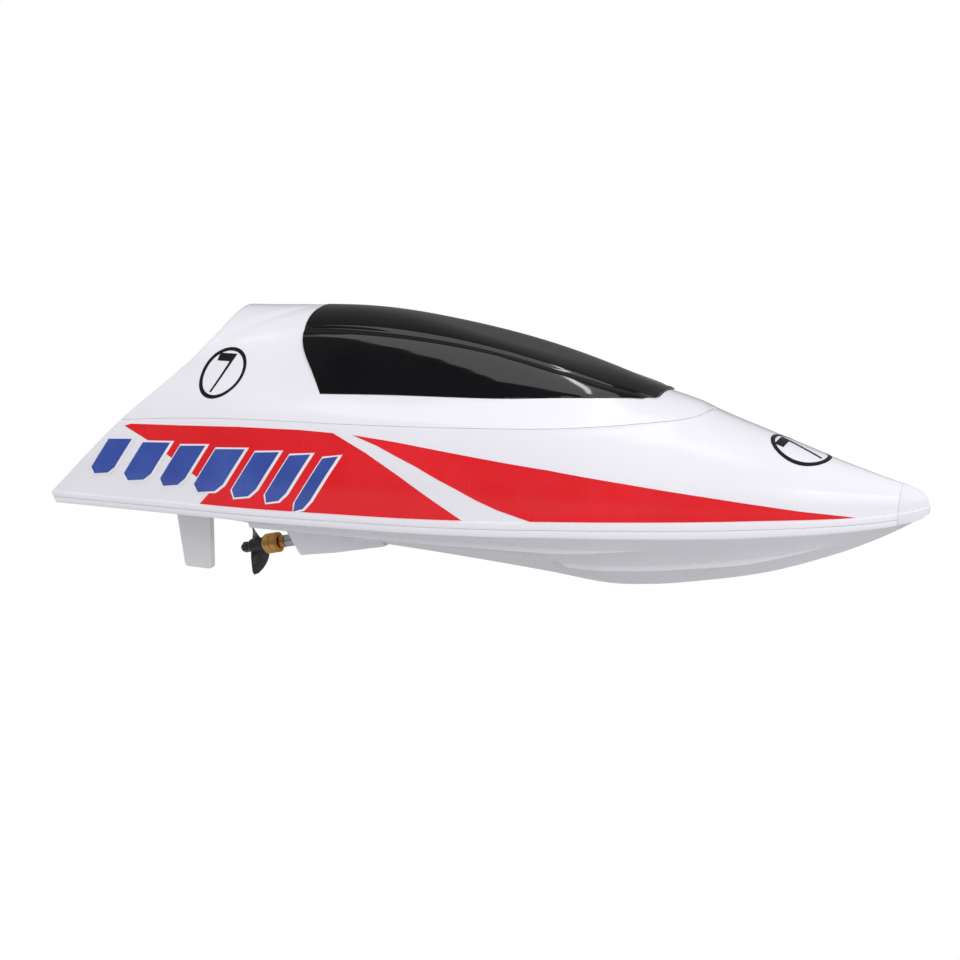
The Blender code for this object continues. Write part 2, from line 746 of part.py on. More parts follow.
def latch_slot(name):
    """Guide that the latch slides in, between the stern face and the tail block."""
    slot = box(Vector((0.0208, 2 * LATCH_HALF_WIDTH + 0.0008, 0.0031)))
    placed(slot, tail_frame() @ Matrix.Translation((0.0169, 0.0, 0.0018)))
    return as_cutter(slot, name)


def tail_block():
    """Raised housing over the latch, bedded on the crowned stern face of the cover."""
    block = flat_piece(TAIL_BLOCK, 2 * TAIL_HALF_WIDTH, tail_frame() @ SIDE_PLANE)
    bevel(block, 0.0007, 2)
    finish(block, "tail_block", "gloss_white")
    bed = loft_from_stern("tail_bed", upper_outline(0.0, seam_plus(-0.006), lambda x: 1.0, 14),
                          [-0.06, -0.03], -GAP)
    boolean(block, latch_slot("latch_slot_in_block"))
    boolean(block, as_cutter(bed, "tail_bed"))
    return block


def canopy_window():
    outline = upper_outline(0.0, lambda x: 0.096, lambda x: 1.0, 12)
    window = upright_loft("canopy_window", outline, spaced(-0.095, 0.092, 18))
    finish(window, "canopy_window", "window_black")
    boolean(window, window_prism(-0.5 * GAP, "window_limits"), "INTERSECT")
    boolean(window, window_core(WINDOW_THICK, "window_inside"))
    return window


def hatch_gasket():
    low, high = seam_plus(0.5 * GAP), seam_plus(GASKET_TOP)
    end = front_limit(0.0022, GASKET_TOP) - 0.0015
    gasket = loft_from_stern("gasket", upper_outline(0.0022, low, high, 3),
                             cover_stations(end), 0.0022)
    finish(gasket, "hatch_gasket", "black_rubber")
    inner_end = front_limit(0.0058, -0.001)
    inner = loft_from_stern("gasket_inside", upper_outline(0.0058, seam_plus(-0.001),
                            seam_plus(0.003), 3), cover_stations(inner_end), 0.0058)
    boolean(gasket, as_cutter(inner, "gasket_inside"))
    return gasket


def hatch_latch():
    latch = flat_piece(LATCH_PLATE, 2 * LATCH_HALF_WIDTH, tail_frame() @ SIDE_PLANE)
    bevel(latch, 0.0003, 1)
    return finish(latch, "hatch_latch", "gloss_white")


# ================================================================== drive line
def shaft_ring(name, colour, outer, inner, low, high, sides=24, edge=0.0003):
    piece = placed(ring(outer, inner, low, high, sides, edge), shaft_frame())
    return finish(piece, name, colour)


def propeller():
    """Two-bladed propeller: twisted blades on a bored hub."""
    hub = turned([(BUSH_BORE, -0.0072), (0.0030, -0.0072), (HUB_RADIUS, -0.0082),
                  (HUB_RADIUS, -0.0150), (0.0026, -0.0165), (BUSH_BORE, -0.0165),
                  (BUSH_BORE, -0.0072)])
    placed(hub, shaft_frame())
    finish(hub, "propeller", "black_plastic")
    for number, turn in enumerate((0.0, 180.0)):
        blade = mesh_object("blade", blade_shape)
        matrix = shaft_frame(-0.0117) @ Matrix.Rotation(math.radians(turn), 4, "Z")
        join_to(hub, placed(blade, matrix), "blade_shape_%d" % number)
    return hub


def blade_shape(work):
    """Blade along local +X: lens sections that twist and sweep from the root to the tip."""
    loops = []
    for step in range(8):
        t = step / 7.0
        radius = 0.0026 + (PROP_RADIUS - 0.0026) * t
        chord = 0.0086 * math.sqrt(max(1.0 - (1.15 * t - 0.35) ** 2 / 0.68, 0.02)) + 0.0008
        thick = 0.0012 * (1.0 - 0.6 * t)
        pitch = math.atan(0.0062 / radius)
        rake = -0.0036 * t * t
        loop = []
        for side in range(10):
            angle = 2.0 * math.pi * side / 10.0
            along, across = 0.5 * chord * math.cos(angle), 0.5 * thick * math.sin(angle)
            y = along * math.cos(pitch) - across * math.sin(pitch) - 0.0020 * t * t
            z = along * math.sin(pitch) + across * math.cos(pitch) + rake
            loop.append(work.verts.new((radius, y, z)))
        loops.append(loop)
    for a, b in zip(loops, loops[1:]):
        for i in range(10):
            j = (i + 1) % 10
            work.faces.new((a[i], a[j], b[j], b[i]))
    work.faces.new(loops[0])
    work.faces.new(loops[-1])


def drive_line():
    propeller()
    shaft_ring("propeller_nut", "black_plastic", 0.0027, BUSH_BORE, -0.0200, -0.0169, 6)
    dog = turned([(BUSH_BORE, 0.0014), (0.0036, 0.0014), (DOG_RADIUS, 0.0006),
                  (DOG_RADIUS, -0.0016), (0.0044, -0.0020), (0.0044, -0.0028),
                  (DOG_RADIUS, -0.0032), (DOG_RADIUS, -0.0060), (0.0046, -0.0068),
                  (BUSH_BORE, -0.0068), (BUSH_BORE, 0.0014)])
    finish(placed(dog, shaft_frame()), "drive_dog", "brass")
    shaft = placed(cylinder(SHAFT_RADIUS, 0.0955, 16), shaft_frame(0.0268))
    finish(shaft, "propeller_shaft", "steel")
    shaft_ring("shaft_bush_rear", "brass", TUBE_RADIUS, BUSH_BORE, 0.0018, 0.0045)
    shaft_ring("stern_tube", "steel", TUBE_RADIUS, TUBE_BORE, *TUBE_SPAN)
    shaft_ring("shaft_bush_front", "brass", TUBE_RADIUS, BUSH_BORE, 0.0598, 0.0628)
    shaft_ring("shaft_coupler", "brass", 0.0045, BUSH_BORE, 0.0665, 0.0830)
    screw = placed(cylinder(0.0011, 0.0024, 10),
                   shaft_frame(0.0700) @ Matrix.Translation((-0.0061, 0, 0))
                   @ Matrix.Rotation(math.radians(90.0), 4, "Y"))
    finish(screw, "coupler_screw", "steel")


def motor():
    low, high = MOTOR_SPAN
    can = turned([(0.0, high), (MOTOR_RADIUS - 0.001, high), (MOTOR_RADIUS, high - 0.001),
                  (MOTOR_RADIUS, low + 0.001), (MOTOR_RADIUS - 0.001, low), (0.0052, low),
                  (0.0052, low - 0.0022), (0.0020, low - 0.0022), (0.0020, low + 0.004),
                  (0.0, low + 0.004)], 28)
    finish(placed(can, shaft_frame()), "motor_can", "motor_steel")
    bell = turned([(0.0, high + 0.0050), (0.0035, high + 0.0050), (0.0035, high + 0.0030),
                   (0.0105, high + 0.0030), (0.0115, high + 0.0020), (0.0115, high + GAP),
                   (0.0, high + GAP)], 28)
    finish(placed(bell, shaft_frame()), "motor_end_bell", "black_plastic")
    rotor = placed(cylinder(0.0011, 0.0162, 12), shaft_frame(low - 0.0048))
    finish(rotor, "motor_shaft", "steel")
    motor_mount()
    for side, name in ((-1, "motor_screw_starboard"), (1, "motor_screw_port")):
        screw = turned([(0.0, low - 0.0031), (0.0014, low - 0.0031), (0.0014, low - 0.0046),
                        (0.0, low - 0.0046)], 12)
        place = shaft_frame() @ Matrix.Translation((0.0, side * 0.0078, 0.0))
        finish(placed(screw, place), name, "steel")


def motor_mount():
    """Plate across the V bottom that the motor's face is screwed to."""
    low = MOTOR_SPAN[0]
    centre = shaft_point(low - 0.0014)
    floor = floor_height(centre.x, 0.0) + 0.0012 - centre.z
    wide = 0.017
    edge = floor_height(centre.x, wide) + 0.0012 - centre.z
    outline = [(0.0, floor), (wide, edge), (wide, 0.002), (0.0120, 0.0085),
               (0.0060, 0.0130), (-0.0060, 0.0130), (-0.0120, 0.0085), (-wide, 0.002),
               (-wide, edge)]
    tilt = Matrix.Translation(centre) @ Matrix.Rotation(math.radians(-SHAFT_SLOPE), 4, "Y")
    plate = flat_piece(outline, 0.0024, tilt @ CROSS_PLANE, [circle(0.0057)])
    bevel(plate, 0.0004, 1)
    return finish(plate, "motor_mount", "black_plastic")


# ================================================================== steering
def rudder():
    outline = [(0.0065, 0.0336), (0.0065, 0.0012), (0.0052, 0.0), (-0.0078, 0.0),
               (-0.0092, 0.0010), (-0.0142, 0.0336)]
    place = Matrix.Translation((STOCK_X, 0.0, 0.0)) @ SIDE_PLANE
    blade = flat_piece(outline, 0.0040, place)
    bevel(blade, 0.0008, 2)
    finish(blade, "rudder_blade", "grey_plastic")
    socket = placed(cylinder(STOCK_RADIUS + 0.0002, 0.022, 16),
                    Matrix.Translation((STOCK_X, 0.0, 0.0290)))
    boolean(blade, as_cutter(socket, "stock_socket"))
    set_pivot(blade, (STOCK_X, 0.0, 0.0))

    stock = placed(cylinder(STOCK_RADIUS, 0.0400, 16), Matrix.Translation((STOCK_X, 0, 0.0387)))
    finish(stock, "rudder_stock", "steel")
    bush = turned([(0.0018, 0.0448), (0.0030, 0.0448), (0.0030, 0.0346), (0.0018, 0.0346),
                   (0.0018, 0.0448)])
    finish(placed(bush, Matrix.Translation((STOCK_X, 0, 0))), "rudder_bush", "black_plastic")


def set_pivot(obj, pivot):
    """Moves an object's origin to its joint's axis without moving its mesh."""
    bpy.context.view_layer.update()
    world = obj.matrix_world.copy()
    target = Matrix.Translation(pivot)
    obj.data.transform(target.inverted() @ world)
    obj.matrix_world = target


def lever(name, colour, pivot, bore):
    """Arm that points to port, with an upright pin at its end."""
    tip = [(0.0022 * math.cos(a), ARM + 0.0022 * math.sin(a)) for a in
           [math.pi * i / 8 for i in range(9)]]
    root = [(0.0036 * math.cos(a), 0.0036 * math.sin(a)) for a in
            [math.pi + math.pi * i / 8 for i in range(9)]]
    arm = flat_piece(tip + root, 0.0020, Matrix.Translation((*pivot, ARM_HEIGHT)),
                     [circle(bore, count=16)] if bore else [])
    pin = placed(cylinder(0.0008, 0.0036, 12),
                 Matrix.Translation((pivot[0], pivot[1] + ARM, ARM_HEIGHT + 0.0026)))
    finish(arm, name, colour)
    join_to(arm, pin, name + "_pin_shape")
    set_pivot(arm, (pivot[0], pivot[1], ARM_HEIGHT))
    return arm


def steering():
    rudder()
    lever("tiller_arm", "black_plastic", (STOCK_X, 0.0), STOCK_RADIUS + GAP)
    lever("servo_horn", "grey_plastic", (SERVO_X, 0.0), 0.0)

    reach = SERVO_X - STOCK_X
    bar = flat_piece([(0.0, -0.0012), (reach, -0.0012), (reach, 0.0012), (0.0, 0.0012)],
                     0.0013, Matrix.Translation((STOCK_X, ARM, ARM_HEIGHT + 0.00215)))
    finish(bar, "steering_pushrod", "steel")
    for number, (x, bore) in enumerate(((STOCK_X, 0.0011), (SERVO_X, 0.0013))):
        place = Matrix.Translation((x, ARM, ARM_HEIGHT + 0.00215))
        join_to(bar, placed(cylinder(0.0025, 0.0013, 16), place), "link_eye_%d" % number)
        hole = placed(cylinder(bore, 0.01, 12), place)
        boolean(bar, as_cutter(hole, "link_hole_%d" % number))
    set_pivot(bar, (STOCK_X, ARM, ARM_HEIGHT + 0.00215))

    case_top = ARM_HEIGHT - 0.0042
    case_x = SERVO_X + 0.0056
    case = placed(box(Vector((0.0230, 0.0122, 0.0205))),
                  Matrix.Translation((case_x, 0.0, case_top - 0.01025)))
    bevel(case, 0.0006, 1)
    finish(case, "servo_case", "servo_blue")
    ears = placed(box(Vector((0.0324, 0.0122, 0.0022))),
                  Matrix.Translation((case_x, 0.0, case_top - 0.0048)))
    join_to(case, ears, "servo_ears_shape")
    post = placed(cylinder(0.0024, 0.0040, 16),
                  Matrix.Translation((SERVO_X, 0.0, case_top + 0.0008)))
    join_to(case, post, "servo_post_shape")

    base_z = 0.0340
    mount = placed(box(Vector((0.0324, 0.0150, 0.0014))),
                   Matrix.Translation((case_x, 0.0, base_z)))
    finish(mount, "servo_mount", "black_plastic")
    for number, x in enumerate((case_x - 0.0120, case_x + 0.0130)):
        inner, outer = 0.0055, 0.0140
        near, far = floor_height(x, inner) + GAP, floor_height(x, outer) + GAP
        foot = flat_piece([(-outer, base_z), (outer, base_z), (outer, far), (inner, near),
                           (inner, base_z - 0.0006), (-inner, base_z - 0.0006),
                           (-inner, near), (-outer, far)], 0.0030,
                          Matrix.Translation((x, 0.0, 0.0)) @ CROSS_PLANE)
        join_to(mount, foot, "servo_foot_shape_%d" % number)
    flange = case_top - 0.0059 - GAP
    for number, side in enumerate((-1, 1)):
        tall = flange - base_z
        leg = placed(box(Vector((0.0040, 0.0150, tall))),
                     Matrix.Translation((case_x + side * 0.0142, 0.0, base_z + 0.5 * tall)))
        join_to(mount, leg, "servo_leg_shape_%d" % number)
        head_z = case_top - 0.0037 + GAP
        screw = turned([(0.0, head_z + 0.0012), (0.0014, head_z + 0.0012),
                        (0.0017, head_z), (0.0, head_z)], 12)
        name = ("servo_screw_rear", "servo_screw_front")[number]
        finish(placed(screw, Matrix.Translation((case_x + side * 0.0139, 0.0, 0.0))), name,
               "steel")


# ================================================================== electronics and battery
def floor_slope(x):
    """Rise of the inside of the V bottom for each metre outboard."""
    wall = half_beam(x) - WALL
    return (chine_height(x) + SKIN - keel_height(x) - 1.25 * SKIN) / wall


def floor_height(x, y):
    return keel_height(x) + 1.25 * SKIN + abs(y) * floor_slope(x)


def floor_frame(x, y, lift):
    """Frame lying on the inside of the V bottom, local Z square to it."""
    slope = floor_slope(x)
    z = floor_height(x, y)
    tilt = Matrix.Rotation(math.copysign(math.atan(slope), y), 4, "X")
    return Matrix.Translation((x, y, z)) @ tilt @ Matrix.Translation((0.0, 0.0, lift))


def electronics():
    frame = floor_frame(-0.066, -0.0350, 0.0012)
    size = Vector((0.044, 0.025, 0.0135))
    body = placed(box(size), frame @ Matrix.Translation((0.0, 0.0, 0.5 * size.z)))
    bevel(body, 0.0012, 2)
    finish(body, "receiver_esc_box", "black_plastic")
    well = placed(box(Vector((0.0110, 0.0050, 0.0022))),
                  frame @ Matrix.Translation((0.012, 0.0, size.z)))
    boolean(body, as_cutter(well, "switch_well"))
    knob = placed(box(Vector((0.0050, 0.0040, 0.0026))),
                  frame @ Matrix.Translation((0.0095, 0.0, size.z + 0.0005)))
    bevel(knob, 0.0004, 1)
    finish(knob, "power_switch", "grey_plastic")
    stand = Vector((-0.0520, 0.0330, floor_height(-0.0520, 0.0330 + 0.0042) + GAP))
    tube = placed(ring(0.0016, 0.0009, 0.0005, 0.040, 12, 0.0002), Matrix.Translation(stand))
    finish(tube, "antenna_tube", "soft_white")
    foot = placed(ring(0.0042, 0.0019, 0.0, 0.0030, 16, 0.0004), Matrix.Translation(stand))
    finish(foot, "antenna_foot", "black_plastic")


def battery():
    size, centre = BATTERY_SIZE, BATTERY_CENTRE
    pack = placed(box(size), Matrix.Translation(centre))
    bevel(pack, 0.0022, 2)
    finish(pack, "battery_pack", "battery_blue")

    under = centre.z - 0.5 * size.z - GAP
    thick = 0.0016
    plate = placed(box(Vector((0.078, 0.0400, thick))),
                   Matrix.Translation((centre.x, 0.0, under - 0.5 * thick)))
    finish(plate, "battery_tray", "black_plastic")
    for number, x in enumerate((centre.x - 0.034, centre.x)):
        floor = floor_height(x, 0.0) + 2.0 * GAP
        wide = min((under - floor - 0.001) / floor_slope(x), 0.0195)
        edge = floor_height(x, wide) + 2.0 * GAP
        outline = [(0.0, floor), (wide, edge), (wide, under - 0.5 * thick),
                   (-wide, under - 0.5 * thick), (-wide, edge)]
        rib = flat_piece(outline, 0.0030, Matrix.Translation((x, 0, 0)) @ CROSS_PLANE)
        join_to(plate, rib, "tray_rib_shape_%d" % number)

    half = 0.5 * size.y + GAP
    top = centre.z + 0.5 * size.z + GAP
    band = 0.0011
    foot = under + GAP
    outline = [(half, foot), (half + band, foot), (half + band, top + band),
               (-half - band, top + band), (-half - band, foot), (-half, foot),
               (-half, top), (half, top)]
    strap = flat_piece(outline, 0.014, Matrix.Translation((centre.x, 0, 0)) @ CROSS_PLANE)
    finish(strap, "battery_strap", "strap_black")


def along_route(route, count):
    points = [Vector(p) for p in route]
    return [catmull(points, i / (count - 1)) for i in range(count)]


def leads():
    """Wires that stay inside the hull, each along its own route."""
    wires = {
        "motor_lead_positive": ("red_wire", 0.0009, (
            (0.0100, -0.0060, 0.0470), (0.0125, -0.0110, 0.0475), (0.0060, -0.0200, 0.0490),
            (-0.0180, -0.0270, 0.0490), (-0.0360, -0.0320, 0.0475), (-0.0432, -0.0330, 0.0462))),
        "motor_lead_negative": ("black_wire", 0.0009, (
            (0.0090, 0.0, 0.0530), (0.0120, -0.0060, 0.0560), (0.0060, -0.0200, 0.0560),
            (-0.0160, -0.0300, 0.0530), (-0.0360, -0.0370, 0.0505), (-0.0432, -0.0380, 0.0490))),
        "battery_lead": ("red_wire", 0.0011, (
            (0.0154, -0.0120, 0.0570), (0.0120, -0.0180, 0.0600), (-0.0040, -0.0280, 0.0610),
            (-0.0240, -0.0360, 0.0575), (-0.0370, -0.0420, 0.0540), (-0.0432, -0.0430, 0.0520))),
        "servo_lead": ("black_wire", 0.0009, (
            (-0.0800, -0.0072, 0.0420), (-0.0820, -0.0115, 0.0422), (-0.0910, -0.0180, 0.0436),
            (-0.0950, -0.0270, 0.0455), (-0.0940, -0.0340, 0.0460), (-0.0902, -0.0360, 0.0455))),
    }
    for name, (colour, radius, route) in wires.items():
        finish(rod(along_route(route, 17), radius), name, colour)


# ================================================================== the boat
def build_boat():
    start_scene()
    hull_bottom()
    deck_shell()
    bow_bumper()
    hatch_cover()
    tail_block()
    canopy_window()
    hatch_gasket()
    hatch_latch()
    drive_line()
    motor()
    steering()
    electronics()
    battery()
    leads()


build_boat()
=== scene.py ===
"""Looks of the radio-controlled speedboat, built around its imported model.

Lengths are in metres in the boat's frame: +X to the bow, +Y to port, +Z up.
"""

import json
import math

import bmesh
import bpy
from mathutils import Matrix, Vector


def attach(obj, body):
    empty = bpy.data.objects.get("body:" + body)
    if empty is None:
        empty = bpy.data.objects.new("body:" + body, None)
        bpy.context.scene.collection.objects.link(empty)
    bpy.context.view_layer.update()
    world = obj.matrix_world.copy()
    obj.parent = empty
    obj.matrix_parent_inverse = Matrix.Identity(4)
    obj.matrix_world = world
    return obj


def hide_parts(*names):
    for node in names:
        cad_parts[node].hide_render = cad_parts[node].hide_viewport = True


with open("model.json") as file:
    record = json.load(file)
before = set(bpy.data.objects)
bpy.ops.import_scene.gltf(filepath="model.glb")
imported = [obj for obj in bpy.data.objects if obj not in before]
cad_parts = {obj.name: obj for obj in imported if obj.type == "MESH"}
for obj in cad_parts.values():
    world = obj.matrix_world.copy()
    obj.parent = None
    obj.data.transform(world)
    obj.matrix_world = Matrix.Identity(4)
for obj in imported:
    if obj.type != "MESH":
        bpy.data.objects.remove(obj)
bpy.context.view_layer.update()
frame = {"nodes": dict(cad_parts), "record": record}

# ------------------------------------------------------------------ the boat's lines
SKIN = 0.0018            # moulded wall of the hull and the deck
WALL = 0.0022            # upright wall of the hull bottom at the rail
COVER_SKIN = 0.0022      # moulded wall of the hatch cover
GAP = 0.0003             # clearance between pieces that touch
SEAM_GAP = 0.00008       # fine line between the mouldings
BOW = 0.20825            # foremost point of the bumper
BUMPER_START = 0.1965    # where the soft bow bumper begins
STEP_X = -0.1035         # transverse step that ends the running bottom
STEP_LEDGE = 0.006       # the underside runs level for this far behind the step
FOOT_INSET = 0.0013      # the topsides start this far inboard of the rail
FOOT_RISE = 0.0003       # and this far above it
STERN_RUN = -0.086       # the slanted stern stations turn upright by here
STERN_RAKE = 1.35        # move along x for each unit of inset of the raked stern
OVERHANG_KEEL = 0.0366   # centreline height of the underside behind the step
FLANGE = 0.0070          # width of the deck's ledge under the cover
GASKET_TOP = 0.00145     # above the seam
EDGE = 0.0006            # radius of the moulded edges
LIP = 0.00015            # broken edge along the cover's seam
TAIL_HALF_WIDTH = 0.012
LATCH_HALF_WIDTH = 0.007
ABOVE = 1.0              # a height above every part of the boat

SHAFT_POINT = Vector((-0.11325, 0.0, 0.0177))
SHAFT_SLOPE = 14.0
TUBE_RADIUS = 0.0030
STOCK_X = -0.15725
STOCK_HOLE = 0.0033

# Longitudinal curves. Each row starts with x.

KEEL = ((-0.104, 0.0246), (-0.036, 0.0228), (0.029, 0.0198), (0.062, 0.0176), (0.082, 0.0194),
        (0.106, 0.0238), (0.134, 0.0305), (0.165, 0.0418), (0.187, 0.0523), (0.203, 0.0620),
        (0.20825, 0.0662))
CHINE = (  # x, half-beam, height
    (-0.204, 0.0570, 0.0411), (-0.133, 0.0575, 0.0424), (-0.101, 0.0578, 0.0429),
    (-0.048, 0.0580, 0.0449), (-0.018, 0.0580, 0.0461), (0.026, 0.0570, 0.0486),
    (0.053, 0.0545, 0.0504), (0.090, 0.0467, 0.0520), (0.127, 0.0357, 0.0536),
    (0.150, 0.0272, 0.0551), (0.172, 0.0184, 0.0570), (0.192, 0.0104, 0.0598),
    (0.202, 0.0060, 0.0622), (0.2065, 0.0030, 0.0640), (0.20825, 0.0010, 0.0665))
RAIL = ((-0.204, 0.0052), (-0.048, 0.0058), (0.026, 0.0064), (0.127, 0.0070), (0.175, 0.0056),
        (0.206, 0.0042), (0.20825, 0.0020))
TOP = ((-0.210, 0.1335), (-0.1315, 0.1344), (-0.0817, 0.1370), (-0.0662, 0.1378),
       (-0.0448, 0.1370), (-0.0186, 0.1334), (0.0102, 0.1281), (0.0303, 0.1239),
       (0.0566, 0.1184), (0.0798, 0.1118), (0.0868, 0.1095), (0.1020, 0.1056),
       (0.1085, 0.1030), (0.1373, 0.0941), (0.1655, 0.0855), (0.1874, 0.0796),
       (0.2010, 0.0762), (0.2055, 0.0740), (0.20725, 0.0718), (0.20825, 0.0690))
SEAM = ((-0.204, 0.0795), (-0.167, 0.0834), (-0.138, 0.0864), (-0.110, 0.0885),
        (-0.073, 0.0902), (-0.054, 0.0908), (0.0, 0.0932), (0.050, 0.0962), (0.072, 0.0979),
        (0.091, 0.0996), (0.106, 0.1012), (0.110, 0.1027), (0.116, 0.1090), (0.215, 0.1400))
# x, then the shoulder, the window foot and the roof edge as fractions (breadth, height)
TOPSIDES = (
    (-0.170, 0.877, 0.421, 0.760, 0.600, 0.600, 0.800),
    (-0.123, 0.870, 0.455, 0.690, 0.660, 0.470, 0.870),
    (-0.085, 0.870, 0.460, 0.696, 0.605, 0.375, 0.903),
    (-0.045, 0.853, 0.463, 0.690, 0.595, 0.371, 0.916),
    (0.000, 0.830, 0.500, 0.657, 0.650, 0.363, 0.955),
    (0.026, 0.820, 0.541, 0.634, 0.700, 0.361, 0.966),
    (0.045, 0.810, 0.581, 0.600, 0.752, 0.353, 0.957),
    (0.063, 0.800, 0.600, 0.555, 0.815, 0.330, 0.945),
    (0.082, 0.800, 0.600, 0.560, 0.828, 0.294, 0.950),
    (0.210, 0.800, 0.600, 0.560, 0.828, 0.294, 0.950))
SIDE_BULGE = ((-0.170, 0.957, 0.215), (-0.045, 0.957, 0.225), (0.050, 0.950, 0.300),
              (0.082, 0.948, 0.317), (0.210, 0.948, 0.317))
# height, x of the side's rear edge, how far the middle bulges aft
STERN = ((0.0360, -0.2024, 0.0032), (0.0411, -0.2028, 0.0032), (0.0464, -0.20545, 0.0028),
         (0.0480, -0.20385, 0.0030), (0.0834, -0.1673, 0.0066), (0.1056, -0.1403, 0.0080),
         (0.1150, -0.1303, 0.0080), (0.1240, -0.1236, 0.0072), (0.1350, -0.1180, 0.0088))
STERN_BREADTH = 0.057    # half the breadth over which the stern is crowned
STRAKES = ((0.40, 0.045, 0.166), (0.74, -0.1035, 0.088))  # breadth, aft end, fore end
STRAKE_WIDTH = 0.0042
STRAKE_DEPTH = 0.0021
STRAKE_FADE = (0.020, 0.035)     # lengths over which a strake runs out aft and fore
WINDOW_FOOT = ((-0.0662, 0.1022), (-0.0313, 0.1041), (0.0198, 0.1060), (0.0568, 0.1081),
               (0.0740, 0.1084), (0.0820, 0.1080), (0.0880, 0.1080))
WINDOW_REAR = ((-0.0815, 0.1400), (-0.0838, 0.1376), (-0.0852, 0.1342), (-0.0838, 0.1270),
               (-0.0805, 0.1203), (-0.0733, 0.1115))
WINDOW_THICK = 0.0010
WINDOW_PROUD = 0.00025   # stands out from the cover
WINDOW_CROWN = 0.0006    # swells at mid-height
WINDOW_BLEND = 0.030     # reach of the averaging along the window
# Soft crease between the rear hump and the side fairings: x, distance from the centreline
CREASE = ((-0.1300, 0.0330), (-0.1244, 0.0282), (-0.1161, 0.0218), (-0.1082, 0.0157),
          (-0.1003, 0.0114), (-0.0946, 0.0071), (-0.0860, 0.0020))
CREASE_DEPTH = 0.0006
CREASE_WIDTH = 0.0022
CREASE_FADE = 0.012      # the crease runs out over this length at its fore end
GROOVE_DEPTH = 0.0007    # groove between the window's lens and its roof strip
GROOVE_WIDTH = 0.0011

SIDE_PLANE = Matrix(((1, 0, 0, 0), (0, 0, -1, 0), (0, 1, 0, 0), (0, 0, 0, 1)))   # XY -> XZ


def smooth(table, x, column=1):
    """Cubic through the rows of a table, with slopes limited so that it never overshoots."""
    if x <= table[0][0]:
        return table[0][column]
    if x >= table[-1][0]:
        return table[-1][column]
    index = max(i for i in range(len(table) - 1) if table[i][0] <= x)
    rises = []
    for i in (index - 1, index, index + 1):
        i = min(max(i, 0), len(table) - 2)
        run = table[i + 1][0] - table[i][0]
        rises.append((table[i + 1][column] - table[i][column]) / run)
    slopes = []
    for before, after in (rises[:2], rises[1:]):
        slope = 0.0
        if before * after > 0.0:
            slope = 2.0 * before * after / (before + after)
        slopes.append(slope)
    run = table[index + 1][0] - table[index][0]
    t = (x - table[index][0]) / run
    low, high = table[index][column], table[index + 1][column]
    return (low * (1 + 2 * t) * (1 - t) ** 2 + high * t * t * (3 - 2 * t)
            + run * t * (1 - t) * (slopes[0] * (1 - t) - slopes[1] * t))


def keel_height(x):
    return smooth(KEEL, x)


def half_beam(x):
    return smooth(CHINE, x, 1)


def chine_height(x):
    return smooth(CHINE, x, 2)


def rail_top(x):
    return chine_height(x) + smooth(RAIL, x)


def parting(x):
    """Height where the deck moulding meets the hull bottom, half-way up the rail."""
    return chine_height(x) + 0.5 * smooth(RAIL, x)


def seam_height(x):
    return smooth(SEAM, x)


def top_height(x):
    return smooth(TOP, x)


def stern_x(y, z):
    """x of the crowned, raked stern face."""
    edge = smooth(STERN, z, 1)
    bulge = smooth(STERN, z, 2)
    share = min(abs(y) / STERN_BREADTH, 1.0)
    return edge - bulge * (1.0 - share ** 2)


def catmull(points, t):
    """Point at parameter t (0 to 1) on a smooth curve through the points."""
    last = len(points) - 1
    place = min(max(t, 0.0), 1.0) * last
    i = min(int(place), last - 1)
    u = place - i
    p1, p2 = points[i], points[i + 1]
    p0 = points[i - 1] if i > 0 else 2 * p1 - p2
    p3 = points[i + 2] if i + 2 <= last else 2 * p2 - p1
    return 0.5 * ((2 * p1) + (p2 - p0) * u + (2 * p0 - 5 * p1 + 4 * p2 - p3) * u * u
                  + (3 * p1 - p0 - 3 * p2 + p3) * u ** 3)


SECTION_STEPS = 60
section_cache = {}


def topside(x, inset=0.0, dented=True):
    """Half of the section above the rail at x, from the foot to the centreline, as (y, z)."""
    key = (round(x, 6), round(inset, 6), dented)
    if key in section_cache:
        return section_cache[key]
    beam = half_beam(x) - FOOT_INSET
    foot = rail_top(x) + FOOT_RISE
    rise = top_height(x) - foot
    fractions = [(1.0, 0.0), (smooth(SIDE_BULGE, x, 1), smooth(SIDE_BULGE, x, 2))]
    fractions += [(smooth(TOPSIDES, x, c), smooth(TOPSIDES, x, c + 1)) for c in (1, 3, 5)]
    fractions.append((0.0, 1.0))
    fractions.append((-fractions[-2][0], fractions[-2][1]))
    points = [Vector((beam * b, foot + rise * h)) for b, h in fractions]
    top_at = (len(points) - 2) / (len(points) - 1)
    curve = [catmull(points, top_at * i / SECTION_STEPS) for i in range(SECTION_STEPS + 1)]
    curve[-1] = Vector((0.0, foot + rise))
    if dented and CREASE[0][0] < x < CREASE[-1][0]:
        middle = smooth(CREASE, x)
        fade = min((CREASE[-1][0] - x) / CREASE_FADE, 1.0)
        curve = dent(curve, middle, CREASE_DEPTH * fade, CREASE_WIDTH)
    if inset != 0.0:
        curve = inset_curve(curve, inset)
    section_cache[key] = curve
    return curve


def dent(curve, middle, depth, width):
    """Presses a shallow round valley into a half section where its breadth is middle."""
    pressed = []
    for i, point in enumerate(curve):
        along = (curve[min(i + 1, len(curve) - 1)] - curve[max(i - 1, 0)]).normalized()
        amount = depth * math.exp(-((point.x - middle) / width) ** 2)
        pressed.append(point + amount * Vector((-along.y, along.x)))
    pressed[-1] = curve[-1].copy()
    return pressed


